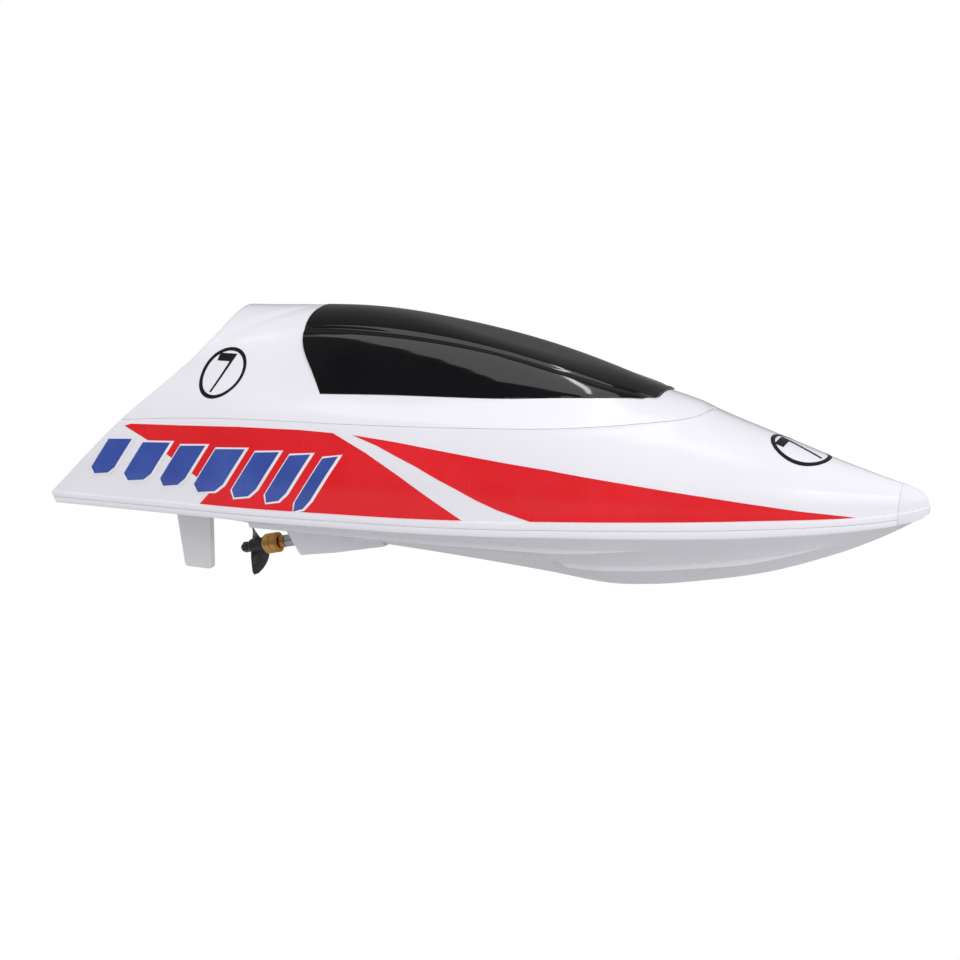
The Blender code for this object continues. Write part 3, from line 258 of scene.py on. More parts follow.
def inset_curve(curve, inset):
    """Moves a half section inwards, or outwards if inset is negative."""
    moved = []
    for i, point in enumerate(curve):
        before = curve[max(i - 1, 0)]
        after = curve[min(i + 1, len(curve) - 1)]
        along = (after - before).normalized()
        moved.append(point + inset * Vector((-along.y, along.x)))
    moved[-1].x = 0.0
    kept = [moved[0]]
    for point in moved[1:-1]:
        if point.x > 0.0003 and point.y > kept[-1].y:
            kept.append(point)
    kept.append(Vector((0.0, max(moved[-1].y, kept[-1].y + 0.00002))))
    return kept


def between(curve, low, high, count):
    """count points along a half section between two heights, evenly spaced along it."""
    high = min(high, curve[-1].y)
    low = min(max(low, curve[0].y), high - 0.00005)

    def at_height(z):
        for a, b in zip(curve, curve[1:]):
            if a.y <= z <= b.y:
                return a.lerp(b, (z - a.y) / max(b.y - a.y, 1e-9))
        return curve[-1].copy()

    path = [at_height(low)] + [p for p in curve if low < p.y < high] + [at_height(high)]
    lengths = [0.0]
    for a, b in zip(path, path[1:]):
        lengths.append(lengths[-1] + (b - a).length)
    points = []
    j = 0
    for i in range(count):
        goal = lengths[-1] * i / (count - 1)
        while j < len(path) - 2 and lengths[j + 1] < goal:
            j += 1
        span = max(lengths[j + 1] - lengths[j], 1e-9)
        points.append(path[j].lerp(path[j + 1], min((goal - lengths[j]) / span, 1.0)))
    return points


def spaced(start, end, count):
    return [start + (end - start) * i / (count - 1) for i in range(count)]


def seam_plus(offset):
    return lambda x: seam_height(x) + offset


def front_limit(inset, offset):
    """Where the cover's inset shape has thinned to nothing above the seam."""
    x, step, thinnest = 0.085, 0.0005, 0.0006
    while topside(x, inset)[-1].y > seam_height(x) + offset + thinnest:
        x += step
    return x - step


# ------------------------------------------------------------------ mesh helpers
def linked(name, data):
    obj = bpy.data.objects.new(name, data)
    bpy.context.scene.collection.objects.link(obj)
    return obj


def mesh_object(name, build):
    """Closed object from a bmesh that the build function fills."""
    work = bmesh.new()
    build(work)
    bmesh.ops.remove_doubles(work, verts=work.verts, dist=2e-6)
    bmesh.ops.dissolve_degenerate(work, edges=work.edges, dist=1e-6)
    bmesh.ops.recalc_face_normals(work, faces=work.faces)
    mesh = bpy.data.meshes.new(name)
    work.to_mesh(mesh)
    work.free()
    return linked(name, mesh)


def applied(obj):
    """Turns an object's modifiers, and its placement, into its mesh."""
    bpy.context.view_layer.update()
    shape = obj.evaluated_get(bpy.context.evaluated_depsgraph_get())
    mesh = bpy.data.meshes.new_from_object(shape)
    mesh.transform(obj.matrix_world)
    obj.modifiers.clear()
    obj.matrix_world = Matrix.Identity(4)
    if obj.type == "MESH":
        obj.data = mesh
        return obj
    made = linked(obj.name, mesh)
    bpy.data.objects.remove(obj)
    return made


def cut(obj, *others, operation="DIFFERENCE"):
    """Applies one Boolean with each of the other objects, which are then removed."""
    for other in others:
        modifier = obj.modifiers.new(operation.lower(), "BOOLEAN")
        modifier.operation = operation
        modifier.solver = "EXACT"
        modifier.object = other
        applied(obj)
        bpy.data.objects.remove(other)
    return obj


def rounded(obj, width, segments):
    """Rounds every edge that is sharper than a shallow fold."""
    modifier = obj.modifiers.new("edges", "BEVEL")
    modifier.width = width
    modifier.segments = segments
    modifier.limit_method = "ANGLE"
    modifier.angle_limit = math.radians(35.0)
    return applied(obj)


def piece(obj, name, body, slot, *replaced, smooth_angle=32.0):
    """Names a finished piece, shades it, and ties it to its body, material slot and nodes."""
    obj.name = name
    obj.data.name = name
    obj.data.shade_smooth()
    obj.data.set_sharp_from_angle(angle=math.radians(smooth_angle))
    obj.data.materials.clear()
    obj.data.materials.append(MATERIALS[slot])
    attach(obj, body)
    if replaced:
        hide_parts(*replaced)
    return obj


def placed(obj, matrix):
    obj.matrix_world = matrix
    return applied(obj)


def box(size):
    def build(work):
        bmesh.ops.create_cube(work, size=1.0)
        bmesh.ops.scale(work, vec=size, verts=work.verts)
    return mesh_object("box", build)


def cylinder(radius, depth):
    def build(work):
        bmesh.ops.create_cone(work, cap_ends=True, segments=48, radius1=radius,
                              radius2=radius, depth=depth)
    return mesh_object("cylinder", build)


def flat_piece(outline, thickness, matrix=Matrix.Identity(4), holes=()):
    """Solid plate from a flat outline in local XY; its thickness is centred on local Z."""
    curve = bpy.data.curves.new("outline", "CURVE")
    curve.dimensions = "2D"
    curve.fill_mode = "BOTH"
    curve.extrude = 0.5 * thickness
    for loop in (outline, *holes):
        spline = curve.splines.new("POLY")
        spline.points.add(len(loop) - 1)
        for point, (x, y) in zip(spline.points, loop):
            point.co = (x, y, 0.0, 1.0)
        spline.use_cyclic_u = True
    obj = placed(linked("outline", curve), matrix)
    work = bmesh.new()
    work.from_mesh(obj.data)
    bmesh.ops.remove_doubles(work, verts=work.verts, dist=1e-6)
    bmesh.ops.recalc_face_normals(work, faces=work.faces)
    work.to_mesh(obj.data)
    work.free()
    return obj


def arc(centre, radius, start, end, count):
    """Points on an arc, angles in degrees."""
    return [(centre[0] + radius * math.cos(math.radians(a)),
             centre[1] + radius * math.sin(math.radians(a))) for a in spaced(start, end, count)]


COLUMNS = 12


def loft(name, stations):
    """Closed body through stations, each a list of rows from low to high across the boat.

    Faces join the rims of neighbouring stations, and the two end stations close it.
    """
    def build(work):
        rows = len(stations[0])
        rim = [(r, 0) for r in range(rows)]
        rim += [(rows - 1, c) for c in range(1, COLUMNS)]
        rim += [(r, COLUMNS) for r in range(rows - 1, -1, -1)]
        rim += [(0, c) for c in range(COLUMNS - 1, 0, -1)]
        outer = set(rim)
        grids = []
        for number, station in enumerate(stations):
            whole = number in (0, len(stations) - 1)
            verts = {}
            for r, row in enumerate(station):
                for c, point in enumerate(row):
                    if whole or (r, c) in outer:
                        verts[r, c] = work.verts.new(point)
            grids.append(verts)
        for a, b in zip(grids, grids[1:]):
            for i, here in enumerate(rim):
                there = rim[(i + 1) % len(rim)]
                work.faces.new((a[here], a[there], b[there], b[here]))
        for grid in (grids[0], grids[-1]):
            for r in range(rows - 1):
                for c in range(COLUMNS):
                    work.faces.new((grid[r, c], grid[r, c + 1], grid[r + 1, c + 1],
                                    grid[r + 1, c]))

    return mesh_object(name, build)


def spread(half, x_of):
    """Station from the half outline: each (y, z) becomes a row across the boat."""
    rows = []
    for y, z in half:
        row = []
        for c in range(COLUMNS + 1):
            side = -y + 2.0 * y * c / COLUMNS
            row.append((x_of(side, z), side, z))
        rows.append(row)
    return rows


def upright(outline, x):
    """Station from the half outline, square to the boat's length at x."""
    return spread(outline, lambda y, z: x)


def slanted_station(outline_at, share, shift=0.0, run=STERN_RUN):
    """Station of the stern part. share 0 lies on the raked stern face and 1 is upright at run."""
    def x_of(y, z):
        return (1.0 - share) * (stern_x(y, z) + shift) + share * run

    half = []
    for k in range(len(outline_at(run))):
        x = run
        for _ in range(4):
            y, z = outline_at(x)[k]
            x = x_of(y, z)
        half.append((y, z))
    return spread(half, x_of)


def loft_from_stern(name, outline_at, fore_stations, inset=0.0):
    """Loft that starts on the raked stern and goes on through upright stations."""
    stations = [slanted_station(outline_at, share, STERN_RAKE * inset)
                for share in spaced(0.0, 1.0, 7)]
    stations += [upright(outline_at(x), x) for x in fore_stations]
    return loft(name, stations)


def rounded_from_stern(name, outline_at, fore_stations):
    """The same with a rounded stern edge. outline_at takes x and an inset."""
    stations = []
    for angle in (0.0, 30.0, 60.0):
        inset = EDGE * (1.0 - math.sin(math.radians(angle)))
        shift = STERN_RAKE * EDGE * (1.0 - math.cos(math.radians(angle)))
        stations.append(slanted_station(lambda x: outline_at(x, inset), 0.0, shift))
    stations.append(slanted_station(lambda x: outline_at(x, 0.0), 0.0, STERN_RAKE * EDGE))
    stations += [slanted_station(lambda x: outline_at(x, 0.0), share)
                 for share in spaced(0.0, 1.0, 13)[1:]]
    stations += [upright(outline_at(x, 0.0), x) for x in fore_stations]
    return loft(name, stations)


def upper_outline(inset, low, high, count):
    """Function of x giving the half outline of the topsides between two heights."""
    def outline_at(x):
        return [(p.x, p.y) for p in between(topside(x, inset, False), low(x), high(x), count)]
    return outline_at


def cover_stations(end, step=0.005):
    """Places along the cover, closer together towards its thin fore end."""
    close = 0.096
    count = int((close - STERN_RUN) / step)
    fore = [x for x in (0.0985, 0.1010, 0.1035, 0.1055, 0.1070) if x < end - 0.0008]
    return spaced(STERN_RUN + step, close, count) + fore + [end]


def hollow_from_stern(name, inset, thin, low, high, rows, step=0.01):
    """Cutter inset from the topsides, from the stern to where it is thin over the seam."""
    stations = cover_stations(front_limit(inset, thin), step)
    return loft_from_stern(name, upper_outline(inset, low, high, rows), stations, inset)


# ------------------------------------------------------------------ materials
def wired(tree, node, **inputs):
    """Puts a constant or a link on each named input of a node."""
    for name, value in inputs.items():
        socket = node.inputs[name.replace("_", " ")]
        if isinstance(value, bpy.types.NodeSocket):
            tree.links.new(value, socket)
        else:
            socket.default_value = value
    return node


def new_node(tree, kind, **inputs):
    return wired(tree, tree.nodes.new("ShaderNode" + kind), **inputs)


def shader_material(name, roughness, **inputs):
    """New material, its node tree and its shader."""
    made = bpy.data.materials.new(name)
    made.use_nodes = True
    shader = made.node_tree.nodes["Principled BSDF"]
    return made, made.node_tree, wired(made.node_tree, shader, Roughness=roughness, **inputs)


def noise(tree, scale, detail=4.0, stretch=(1.0, 1.0, 1.0)):
    """Noise in the boat's own coordinates; scale counts features for each metre."""
    place = new_node(tree, "TexCoord").outputs["Object"]
    mapped = new_node(tree, "Mapping", Vector=place, Scale=stretch).outputs["Vector"]
    return new_node(tree, "TexNoise", Vector=mapped, Scale=scale, Detail=detail).outputs["Fac"]


def ramp(tree, factor, low, high, start=0.3, end=0.7):
    """Colour ramp between two colours."""
    node = new_node(tree, "ValToRGB", Fac=factor)
    for element, place, colour in zip(node.color_ramp.elements, (start, end), (low, high)):
        element.position = place
        element.color = (*colour, 1.0)
    return node.outputs["Color"]


def spread_value(tree, factor, low, high, start=0.3, end=0.7):
    """Value that goes from low to high as the factor goes from start to end."""
    return new_node(tree, "MapRange", Value=factor, From_Min=start, From_Max=end, To_Min=low,
                    To_Max=high).outputs["Result"]


def bump(tree, shader, height, strength, distance):
    """Fine relief on the shader's normal."""
    relief = new_node(tree, "Bump", Strength=strength, Distance=distance, Height=height)
    wired(tree, shader, Normal=relief.outputs["Normal"])


def surface(name, low, high, roughness, patch, grain, coat=(0.0, 0.03), metallic=0.0,
            stretch=(1.0, 1.0, 1.0), transmission=0.0):
    """Material whose colour and roughness drift over the surface, with a fine grain.

    patch counts the drifts for each metre. grain is the grain's count for each metre, its
    strength and its height. coat is the clear coat's weight and roughness.
    """
    made, tree, shader = shader_material(name, roughness[0], Metallic=metallic,
                                         Coat_Weight=coat[0], Coat_Roughness=coat[1],
                                         Transmission_Weight=transmission)
    colour = ramp(tree, noise(tree, patch), low, high)
    rough = spread_value(tree, noise(tree, 3.1 * patch, 6.0, stretch), *roughness)
    wired(tree, shader, Base_Color=colour, Roughness=rough)
    bump(tree, shader, noise(tree, grain[0], 3.0, stretch), *grain[1:])
    return made


def webbing(name, low, high):
    """Woven strap: two crossed sets of bands."""
    made, tree, shader = shader_material(name, 0.9, Sheen_Weight=0.3)
    place = new_node(tree, "TexCoord").outputs["Object"]
    weave = new_node(tree, "Math")
    weave.operation = "MAXIMUM"
    for number, direction in enumerate(("X", "Y")):
        wave = new_node(tree, "TexWave", Vector=place, Scale=420.0, Distortion=0.6)
        wave.bands_direction = direction
        tree.links.new(wave.outputs["Fac"], weave.inputs[number])
    height = weave.outputs["Value"]
    wired(tree, shader, Base_Color=ramp(tree, height, low, high, 0.2, 0.9))
    bump(tree, shader, height, 0.6, 0.0002)
    return made


# Slot, two colours, roughness range, then patch, grain and coat as in surface()
MOULDED = (
    ("white_gloss", (0.79, 0.78, 0.84), (0.82, 0.81, 0.865), (0.16, 0.24), 9.0,
     (420.0, 0.05, 0.00003), (0.5, 0.06)),
    ("hull_white", (0.76, 0.75, 0.80), (0.79, 0.78, 0.825), (0.22, 0.32), 9.0,
     (500.0, 0.06, 0.00003), (0.3, 0.12)),
    ("bumper_soft", (0.76, 0.75, 0.81), (0.79, 0.78, 0.835), (0.42, 0.55), 16.0,
     (1500.0, 0.2, 0.00003)),
    ("canopy_black", (0.004, 0.004, 0.005), (0.008, 0.008, 0.009), (0.05, 0.09), 20.0,
     (260.0, 0.03, 0.00003), (0.6, 0.03)),
    ("rubber_black", (0.014, 0.014, 0.014), (0.03, 0.03, 0.03), (0.7, 0.9), 60.0,
     (2600.0, 0.4, 0.00006)),
    ("plastic_black", (0.010, 0.010, 0.011), (0.022, 0.022, 0.024), (0.28, 0.42), 60.0,
     (2400.0, 0.25, 0.00003)),
    ("plastic_grey", (0.73, 0.725, 0.75), (0.78, 0.775, 0.80), (0.30, 0.42), 30.0,
     (1700.0, 0.2, 0.00003)),
    ("battery_blue", (0.018, 0.09, 0.40), (0.03, 0.14, 0.50), (0.22, 0.40), 70.0,
     (240.0, 0.35, 0.0002)),
    ("wire_red", (0.42, 0.008, 0.010), (0.56, 0.015, 0.018), (0.35, 0.5), 120.0,
     (2400.0, 0.2, 0.00004)),
    ("wire_black", (0.008, 0.008, 0.008), (0.02, 0.02, 0.02), (0.35, 0.5), 120.0,
     (2400.0, 0.2, 0.00004)))
# Slot, two colours, roughness range, patch and the weight of the clear coat
PRINTED = (
    ("stripe_red", (0.72, 0.006, 0.012), (0.80, 0.009, 0.018), (0.20, 0.30), 22.0, 0.3),
    ("stripe_blue", (0.034, 0.070, 0.34), (0.050, 0.100, 0.42), (0.20, 0.30), 40.0, 0.5),
    ("stripe_white", (0.80, 0.78, 0.82), (0.86, 0.85, 0.87), (0.20, 0.30), 30.0, 0.5),
    ("mark_black", (0.008, 0.008, 0.009), (0.016, 0.016, 0.018), (0.20, 0.32), 30.0, 0.4))
# Slot, two colours and roughness range of metals with fine turning lines
TURNED = (
    ("brass", (0.45, 0.20, 0.045), (0.80, 0.46, 0.15), (0.16, 0.34)),
    ("steel", (0.36, 0.37, 0.39), (0.56, 0.57, 0.60), (0.18, 0.34)),
    ("motor_steel", (0.50, 0.50, 0.52), (0.66, 0.66, 0.68), (0.28, 0.42)))

MATERIALS = {row[0]: surface(*row) for row in MOULDED}
MATERIALS.update((row[0], surface(*row[:5], (700.0, 0.06, 0.00003), (row[5], 0.08)))
                 for row in PRINTED)
MATERIALS.update((row[0], surface(*row, 60.0, (1600.0, 0.25, 0.000015), metallic=1.0,
                                  stretch=(1.0, 0.15, 1.0))) for row in TURNED)
MATERIALS["servo_blue"] = surface("servo_blue", (0.010, 0.045, 0.30), (0.02, 0.08, 0.42),
                                  (0.18, 0.28), 80.0, (1500.0, 0.1, 0.00003),
                                  transmission=0.15)
MATERIALS["strap_black"] = webbing("strap_black", (0.008, 0.008, 0.009),
                                   (0.04, 0.04, 0.045))


def dress_cad_nodes():
    """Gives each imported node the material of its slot."""
    for row in frame["record"]["subparts"]:
        node = frame["nodes"][row["node"]]
        node.data.materials.clear()
        node.data.materials.append(MATERIALS[row["material_slot"]])


# ------------------------------------------------------------------ hull bottom
def bottom_outline(x, running):
    """Half outline of the hull bottom, from the keel up to the parting line.

    running tells the V bottom ahead of the step from the overhang behind it.
    """
    keel = keel_height(x) if running else OVERHANG_KEEL
    level = STEP_X > x > STEP_X - 1.01 * STEP_LEDGE
    beam, chine = half_beam(x), chine_height(STEP_X if level else x)

    def rise(y):
        return keel + (chine - keel) * y / beam

    outline = [(0.0, keel), (0.04 * beam, rise(0.04 * beam) - 0.00005)]
    for share, aft, fore in STRAKES:
        inside = running and aft - 0.001 < x < fore
        fade = 0.0
        if inside:
            fade = min((fore - x) / STRAKE_FADE[1], (x - aft) / STRAKE_FADE[0] + 1.0, 1.0)
            fade = max(fade, 0.0)
        width = STRAKE_WIDTH * fade + 0.00001
        y = share * beam
        drop = STRAKE_DEPTH * fade
        outline += [(y - 2.2 * width, rise(y - 2.2 * width)),
                    (y - 0.1 * width, rise(y) - drop - 0.05 * width), (y, rise(y) - drop),
                    (y + 0.12 * width, rise(y + 0.12 * width) - 0.35 * drop),
                    (y + 0.35 * width, rise(y + 0.35 * width))]
    soft = min(EDGE, 0.2 * beam)
    high = parting(x) - 0.5 * SEAM_GAP
    outline += [(beam - 1.6 * soft, rise(beam - 1.6 * soft)),
                (beam - 0.35 * soft, chine - 0.0001), (beam, chine + 0.8 * soft),
                (beam, high - 0.2 * soft), (beam - 0.15 * soft, high)]
    return outline


def hull_cavity_outline(x, running):
    """Half outline of the room inside the hull bottom, left open at the top."""
    keel = keel_height(x) if running else OVERHANG_KEEL
    wall = half_beam(x) - WALL
    floor = keel + 1.25 * SKIN
    corner = max(chine_height(x) + SKIN, floor + 0.0005)
    rows = [(wall * t, floor + (corner - floor) * t) for t in (0.0, 0.35, 0.7, 1.0)]
    return rows + [(wall, parting(x) + 0.003)]


def shaft_frame(along):
    """Local Z points forward along the propeller shaft."""
    slope = math.radians(SHAFT_SLOPE)
    point = SHAFT_POINT + along * Vector((math.cos(slope), 0.0, math.sin(slope)))
    return Matrix.Translation(point) @ Matrix.Rotation(math.pi / 2 - slope, 4, "Y")


SKEG = ((-0.1080, 0.0280), (-0.09825, 0.0138), (-0.07925, 0.0171), (-0.0520, 0.0232),
        (-0.0520, 0.0240), (-0.0600, 0.0300))
SKEG_WIDTH = 0.0094


def hull_bottom():
    """Hollow bottom moulding with its step, strakes, shaft fairing and the two bored holes."""
    run = STEP_X - 0.04

    def stern_outline(x):
        return bottom_outline(x, False)

    stations = [slanted_station(stern_outline, i / 5, 0.0, run) for i in range(6)]
    aft = (run + 0.01, STEP_X - 0.02, STEP_X - STEP_LEDGE, STEP_X)
    fore = spaced(STEP_X, 0.150, 44) + spaced(0.155, BUMPER_START - 0.5 * SEAM_GAP, 10)
    stations += [upright(bottom_outline(x, False), x) for x in aft]
    stations += [upright(bottom_outline(x, True), x) for x in fore]
    hull = loft("hull_bottom_fine", stations)
    cut(hull, rounded(flat_piece(SKEG, SKEG_WIDTH, SIDE_PLANE), 0.0012, 4), operation="UNION")

    step = STEP_X + SKIN
    hollow = [slanted_station(lambda x: hull_cavity_outline(x, False), i / 2,
                              STERN_RAKE * SKIN, run) for i in range(3)]
    hollow += [upright(hull_cavity_outline(step, running), step) for running in (False, True)]
    hollow += [upright(hull_cavity_outline(x, True), x) for x in spaced(-0.085, 0.175, 20)]
    tube_hole = placed(cylinder(TUBE_RADIUS + GAP, 0.075), shaft_frame(0.0335))
    stock_hole = placed(cylinder(STOCK_HOLE, 0.02), Matrix.Translation((STOCK_X, 0, 0.04)))
    cut(hull, loft("hull_cavity", hollow), tube_hole, stock_hole)
    return piece(hull, "hull_bottom_fine", "hull", "hull_white", "hull_bottom",
                 smooth_angle=38.0)


# ------------------------------------------------------------------ deck
SIDE_ROWS = 22


def deck_outline(x, inset):
    """Rounded rail, then topsides up to the cover's seam, or to the centreline ahead of it."""
    rim = half_beam(x) - inset
    low, high = parting(x) + 0.5 * SEAM_GAP, rail_top(x)
    soft = min(EDGE, 0.2 * rim, 0.3 * (high - low))
    rail = [(rim - 0.3 * soft, low), (rim - 0.1 * soft, low + 0.1 * soft),
            (rim, low + 0.4 * soft), (rim, high - soft),
            (rim - 0.3 * soft, high - 0.3 * soft), (rim - soft, high)]
    side = between(topside(x, inset), 0.0, seam_height(x) - SEAM_GAP - LIP, SIDE_ROWS)
    outline = rail + [(p.x, p.y) for p in side]
    top = min(seam_height(x) - SEAM_GAP, side[-1].y + LIP)
    if side[-1].x > 0.001:
        return outline + [(side[-1].x - 0.5 * LIP, top)]
    return outline + [(0.5 * side[-1].x, side[-1].y + 0.000005)]


def deck_cavity_outline(x):
    """Half outline of the room under the deck."""
    curve = topside(x, SKIN, False)
    side = between(curve, 0.0, seam_height(x) - 0.0024, 9)
    return [(curve[0].x, parting(x) - 0.002)] + [(p.x, p.y) for p in side]


def deck_shell():
    """Hollow deck moulding with the hatch opening and the finger notch ahead of it."""
    ahead = spaced(STERN_RUN + 0.005, 0.096, 36)
    ahead += [0.099, 0.102, 0.105, 0.1075, 0.1095, 0.1115, 0.114, 0.118]
    ahead += spaced(0.123, BUMPER_START - 0.5 * SEAM_GAP, 16)
    deck = rounded_from_stern("deck_fine", deck_outline, ahead)
    inside = spaced(-0.08, 0.09, 14)
    inside += [0.096, 0.102, 0.108, 0.114, 0.125, 0.140, 0.155, 0.172]
    cavity = loft_from_stern("deck_cavity", deck_cavity_outline, inside, SKIN)
    opening = hollow_from_stern("opening", FLANGE, -0.004, seam_plus(-0.004),
                                seam_plus(0.004), 6)
    crescent = arc((0.1072, 0.0), 0.0032, -62.0, 62.0, 15)
    crescent += arc((0.1060, 0.0), 0.0037, 50.0, -50.0, 15)
    notch = flat_piece(crescent, 0.0022, Matrix.Translation((0.0, 0.0, 0.1036)))
    cut(deck, cavity, opening, notch)
    return piece(deck, "deck_fine", "hull", "white_gloss", "deck_shell")


def bow_bumper():
    """Soft tip that wraps the bow, with a hair-line edge where it meets the hull."""
    stations = []
    start = BUMPER_START + 0.5 * SEAM_GAP
    for x in (start, start + 0.0002, 0.1985, 0.2000, 0.2015, 0.2030, 0.2043, 0.2055, 0.2064,
              0.2072, 0.2078, BOW):
        pinch = 0.00005 if x == start else 0.0
        beam, chine = half_beam(x) - pinch, chine_height(x)
        keel = keel_height(x) + pinch
        half = [(0.0, keel), (0.35 * beam, keel + 0.35 * (chine - keel)),
                (0.8 * beam, keel + 0.8 * (chine - keel)), (0.96 * beam, chine - 0.0001),
                (beam, chine + 0.0004), (beam - 0.0001, rail_top(x) - 0.0003)]
        half += [(max(p.x - pinch, 0.0), p.y - pinch) for p in between(topside(x), 0, 1, 14)]
        stations.append(upright(half, x))
    return piece(loft("bumper", stations), "bow_bumper_fine", "hull", "bumper_soft",
                 "bow_bumper", smooth_angle=40.0)


# ------------------------------------------------------------------ hatch cover
def cover_outline(x, inset):
    """Half outline of the cover, from its seam up to the centreline."""
    low = seam_height(x)
    curve = between(topside(x, inset), low + LIP, ABOVE, 52)
    first = (max(curve[0].x - 0.5 * LIP, 0.3 * curve[0].x), min(low, curve[0].y - 0.00002))
    return [first] + [(p.x, p.y) for p in curve]


def window_outline(clearance):
    """Side view of the window, grown outwards by the clearance."""
    foot = [(x, z - clearance) for x, z in WINDOW_FOOT]
    foot = [(x, smooth(foot, x)) for x in spaced(foot[0][0], foot[-1][0], 30)]
    foot[0] = (foot[0][0] - 0.7 * clearance, foot[0][1])
    foot[-1] = (foot[-1][0] + clearance, foot[-1][1])
    points = [Vector((x - clearance, z)) for x, z in WINDOW_REAR]
    rear = [tuple(catmull(points, t)) for t in spaced(0.0, 1.0, 26)]
    top = 0.150
    return foot + [(foot[-1][0], top), (rear[0][0], top)] + rear


def window_prism(clearance):
    """Block right across the boat that holds everything inside the window's side view."""
    return flat_piece(window_outline(clearance), 0.16, SIDE_PLANE)


def upright_loft(name, outline_at, xs):
    return loft(name, [upright(outline_at(x), x) for x in xs])


def window_core(inset):
    """What lies behind the window's inner face."""
    outline = upper_outline(inset, lambda x: 0.094, lambda x: ABOVE, 22)
    return upright_loft("window_core", outline, spaced(-0.10, 0.094, 36))


def tail_frame():
    """Local X up along the raked stern, local Z out of it, at the seam on the centreline."""
    foot, head = (Vector((stern_x(0.0, z), 0.0, z)) for z in (seam_height(-0.1740), 0.105))
    along = (head - foot).normalized()
    out = Vector((-along.z, 0.0, along.x))
    matrix = Matrix((along, out.cross(along), out)).transposed().to_4x4()
    matrix.translation = foot
    return matrix


def latch_slot():
    """Room for the latch slider, with its clearance."""
    slot = box(Vector((0.0208, 2 * LATCH_HALF_WIDTH + 0.0008, 0.0031)))
    return placed(slot, tail_frame() @ Matrix.Translation((0.0169, 0.0, 0.0018)))


def hatch_cover():
    """Hollow cover with a channel for the seal, a recess for the window and the latch slot."""
    end = front_limit(0.0, 0.5 * GAP)
    cover = rounded_from_stern("cover_fine", cover_outline, cover_stations(end, 0.004))
    seal = GASKET_TOP + GAP
    channel = hollow_from_stern("channel", 0.0019, seal, seam_plus(-0.002), seam_plus(seal), 4)
    mouth = hollow_from_stern("mouth", 0.0062, 0.0008, seam_plus(0.0008), seam_plus(0.0045), 4)
    room = hollow_from_stern("room", COVER_SKIN, 0.0038, seam_plus(0.0038), lambda x: ABOVE,
                             16, 0.008)
    cut(cover, channel, mouth, room)
    recess = window_prism(0.5 * GAP)
    cut(recess, window_core(WINDOW_THICK + 1.5 * GAP))
    cut(cover, recess, latch_slot())
    return piece(cover, "hatch_cover_fine", "cover", "white_gloss", "hatch_cover")


def tail_block():
    """Raised housing over the latch, bedded on the crowned stern face of the cover."""
    profile = [(0.0185, -0.0040), (0.0185, 0.0014), (0.0212, 0.0044), (0.0262, 0.0042),
               (0.0410, 0.0014), (0.0450, -0.0010), (0.0450, -0.0040)]
    block = flat_piece(profile, 2 * TAIL_HALF_WIDTH, tail_frame() @ SIDE_PLANE)
    rounded(block, 0.0008, 4)
    bed = loft_from_stern("tail_bed", upper_outline(0.0, seam_plus(-0.006),
                          lambda x: ABOVE, 30), [-0.06, -0.03], -0.00005)
    cut(block, bed, latch_slot())
    return piece(block, "tail_block_fine", "cover", "white_gloss", "tail_block")


def hatch_latch():
    """Sliding catch with a thumb ridge and grip lines."""
    profile = [(-0.0080, 0.0007), (-0.0080, 0.0018), (-0.0045, 0.0026), (-0.0040, 0.0058),
               (-0.0020, 0.0062), (-0.0005, 0.0058), (0.0, 0.0026), (0.0205, 0.0026),
               (0.0205, 0.0007)]
    latch = flat_piece(profile, 2 * LATCH_HALF_WIDTH, tail_frame() @ SIDE_PLANE)
    rounded(latch, 0.0004, 3)
    for number in range(5):
        groove = box(Vector((0.02, 0.0007, 0.0008)))
        shift = Matrix.Translation((-0.0022, -0.0048 + 0.0024 * number, 0.0063))
        cut(latch, placed(groove, tail_frame() @ shift))
    return piece(latch, "hatch_latch_fine", "latch", "white_gloss", "hatch_latch")


def averaged_section(x):
    """Section averaged over neighbouring ones, so that reflections run without ripples."""
    curve = [Vector((0.0, 0.0)) for _ in range(SECTION_STEPS + 1)]
    weights = (1, 3, 6, 10, 14, 17, 18, 17, 14, 10, 6, 3, 1)
    reach = len(weights) // 2
    for number, weight in enumerate(weights):
        near = topside(x + WINDOW_BLEND * (number - reach) / reach, 0.0, False)
        for total, point in zip(curve, near):
            total += point * weight / sum(weights)
    return inset_curve(curve, -WINDOW_PROUD)


def window_section(x):
    """Window surface: proud of the cover, crowned, with a groove beside the roof strip."""
    curve = averaged_section(x)
    edge_y = (half_beam(x) - FOOT_INSET) * smooth(TOPSIDES, x, 5)
    foot_z = smooth(WINDOW_FOOT, x)
    edge_z = min(between(curve, 0.0, ABOVE, 200), key=lambda p: abs(p.x - edge_y)).y
    crowned = []
    for i, point in enumerate(curve):
        share = (point.y - foot_z) / max(edge_z - foot_z, 0.001)
        lift = WINDOW_CROWN * max(0.0, 4.0 * share * (1.0 - share))
        along = (curve[min(i + 1, len(curve) - 1)] - curve[max(i - 1, 0)]).normalized()
        crowned.append(point + lift * Vector((along.y, -along.x)))
    return dent(crowned, edge_y, GROOVE_DEPTH, GROOVE_WIDTH)


def canopy_window():
    """Thin dark window: a lens on each side and a strip over the roof, in one piece."""
    def outline(x):
        return [(p.x, p.y) for p in between(window_section(x), 0.096, ABOVE, 80)]

    window = upright_loft("window", outline, spaced(-0.095, 0.092, 60))
    cut(window, window_prism(-0.5 * GAP), operation="INTERSECT")
    cut(window, window_core(WINDOW_THICK))
    return piece(window, "canopy_window_fine", "cover", "canopy_black", "canopy_window",
                 smooth_angle=40.0)


# ------------------------------------------------------------------ printed graphics
FILM = 0.00008           # step from one printed layer to the next
FILM_LIFT = 0.00006      # the lowest film lies this far off the surface
NEAR_MIDDLE = 0.005      # an outline centred within this of the centreline goes right across


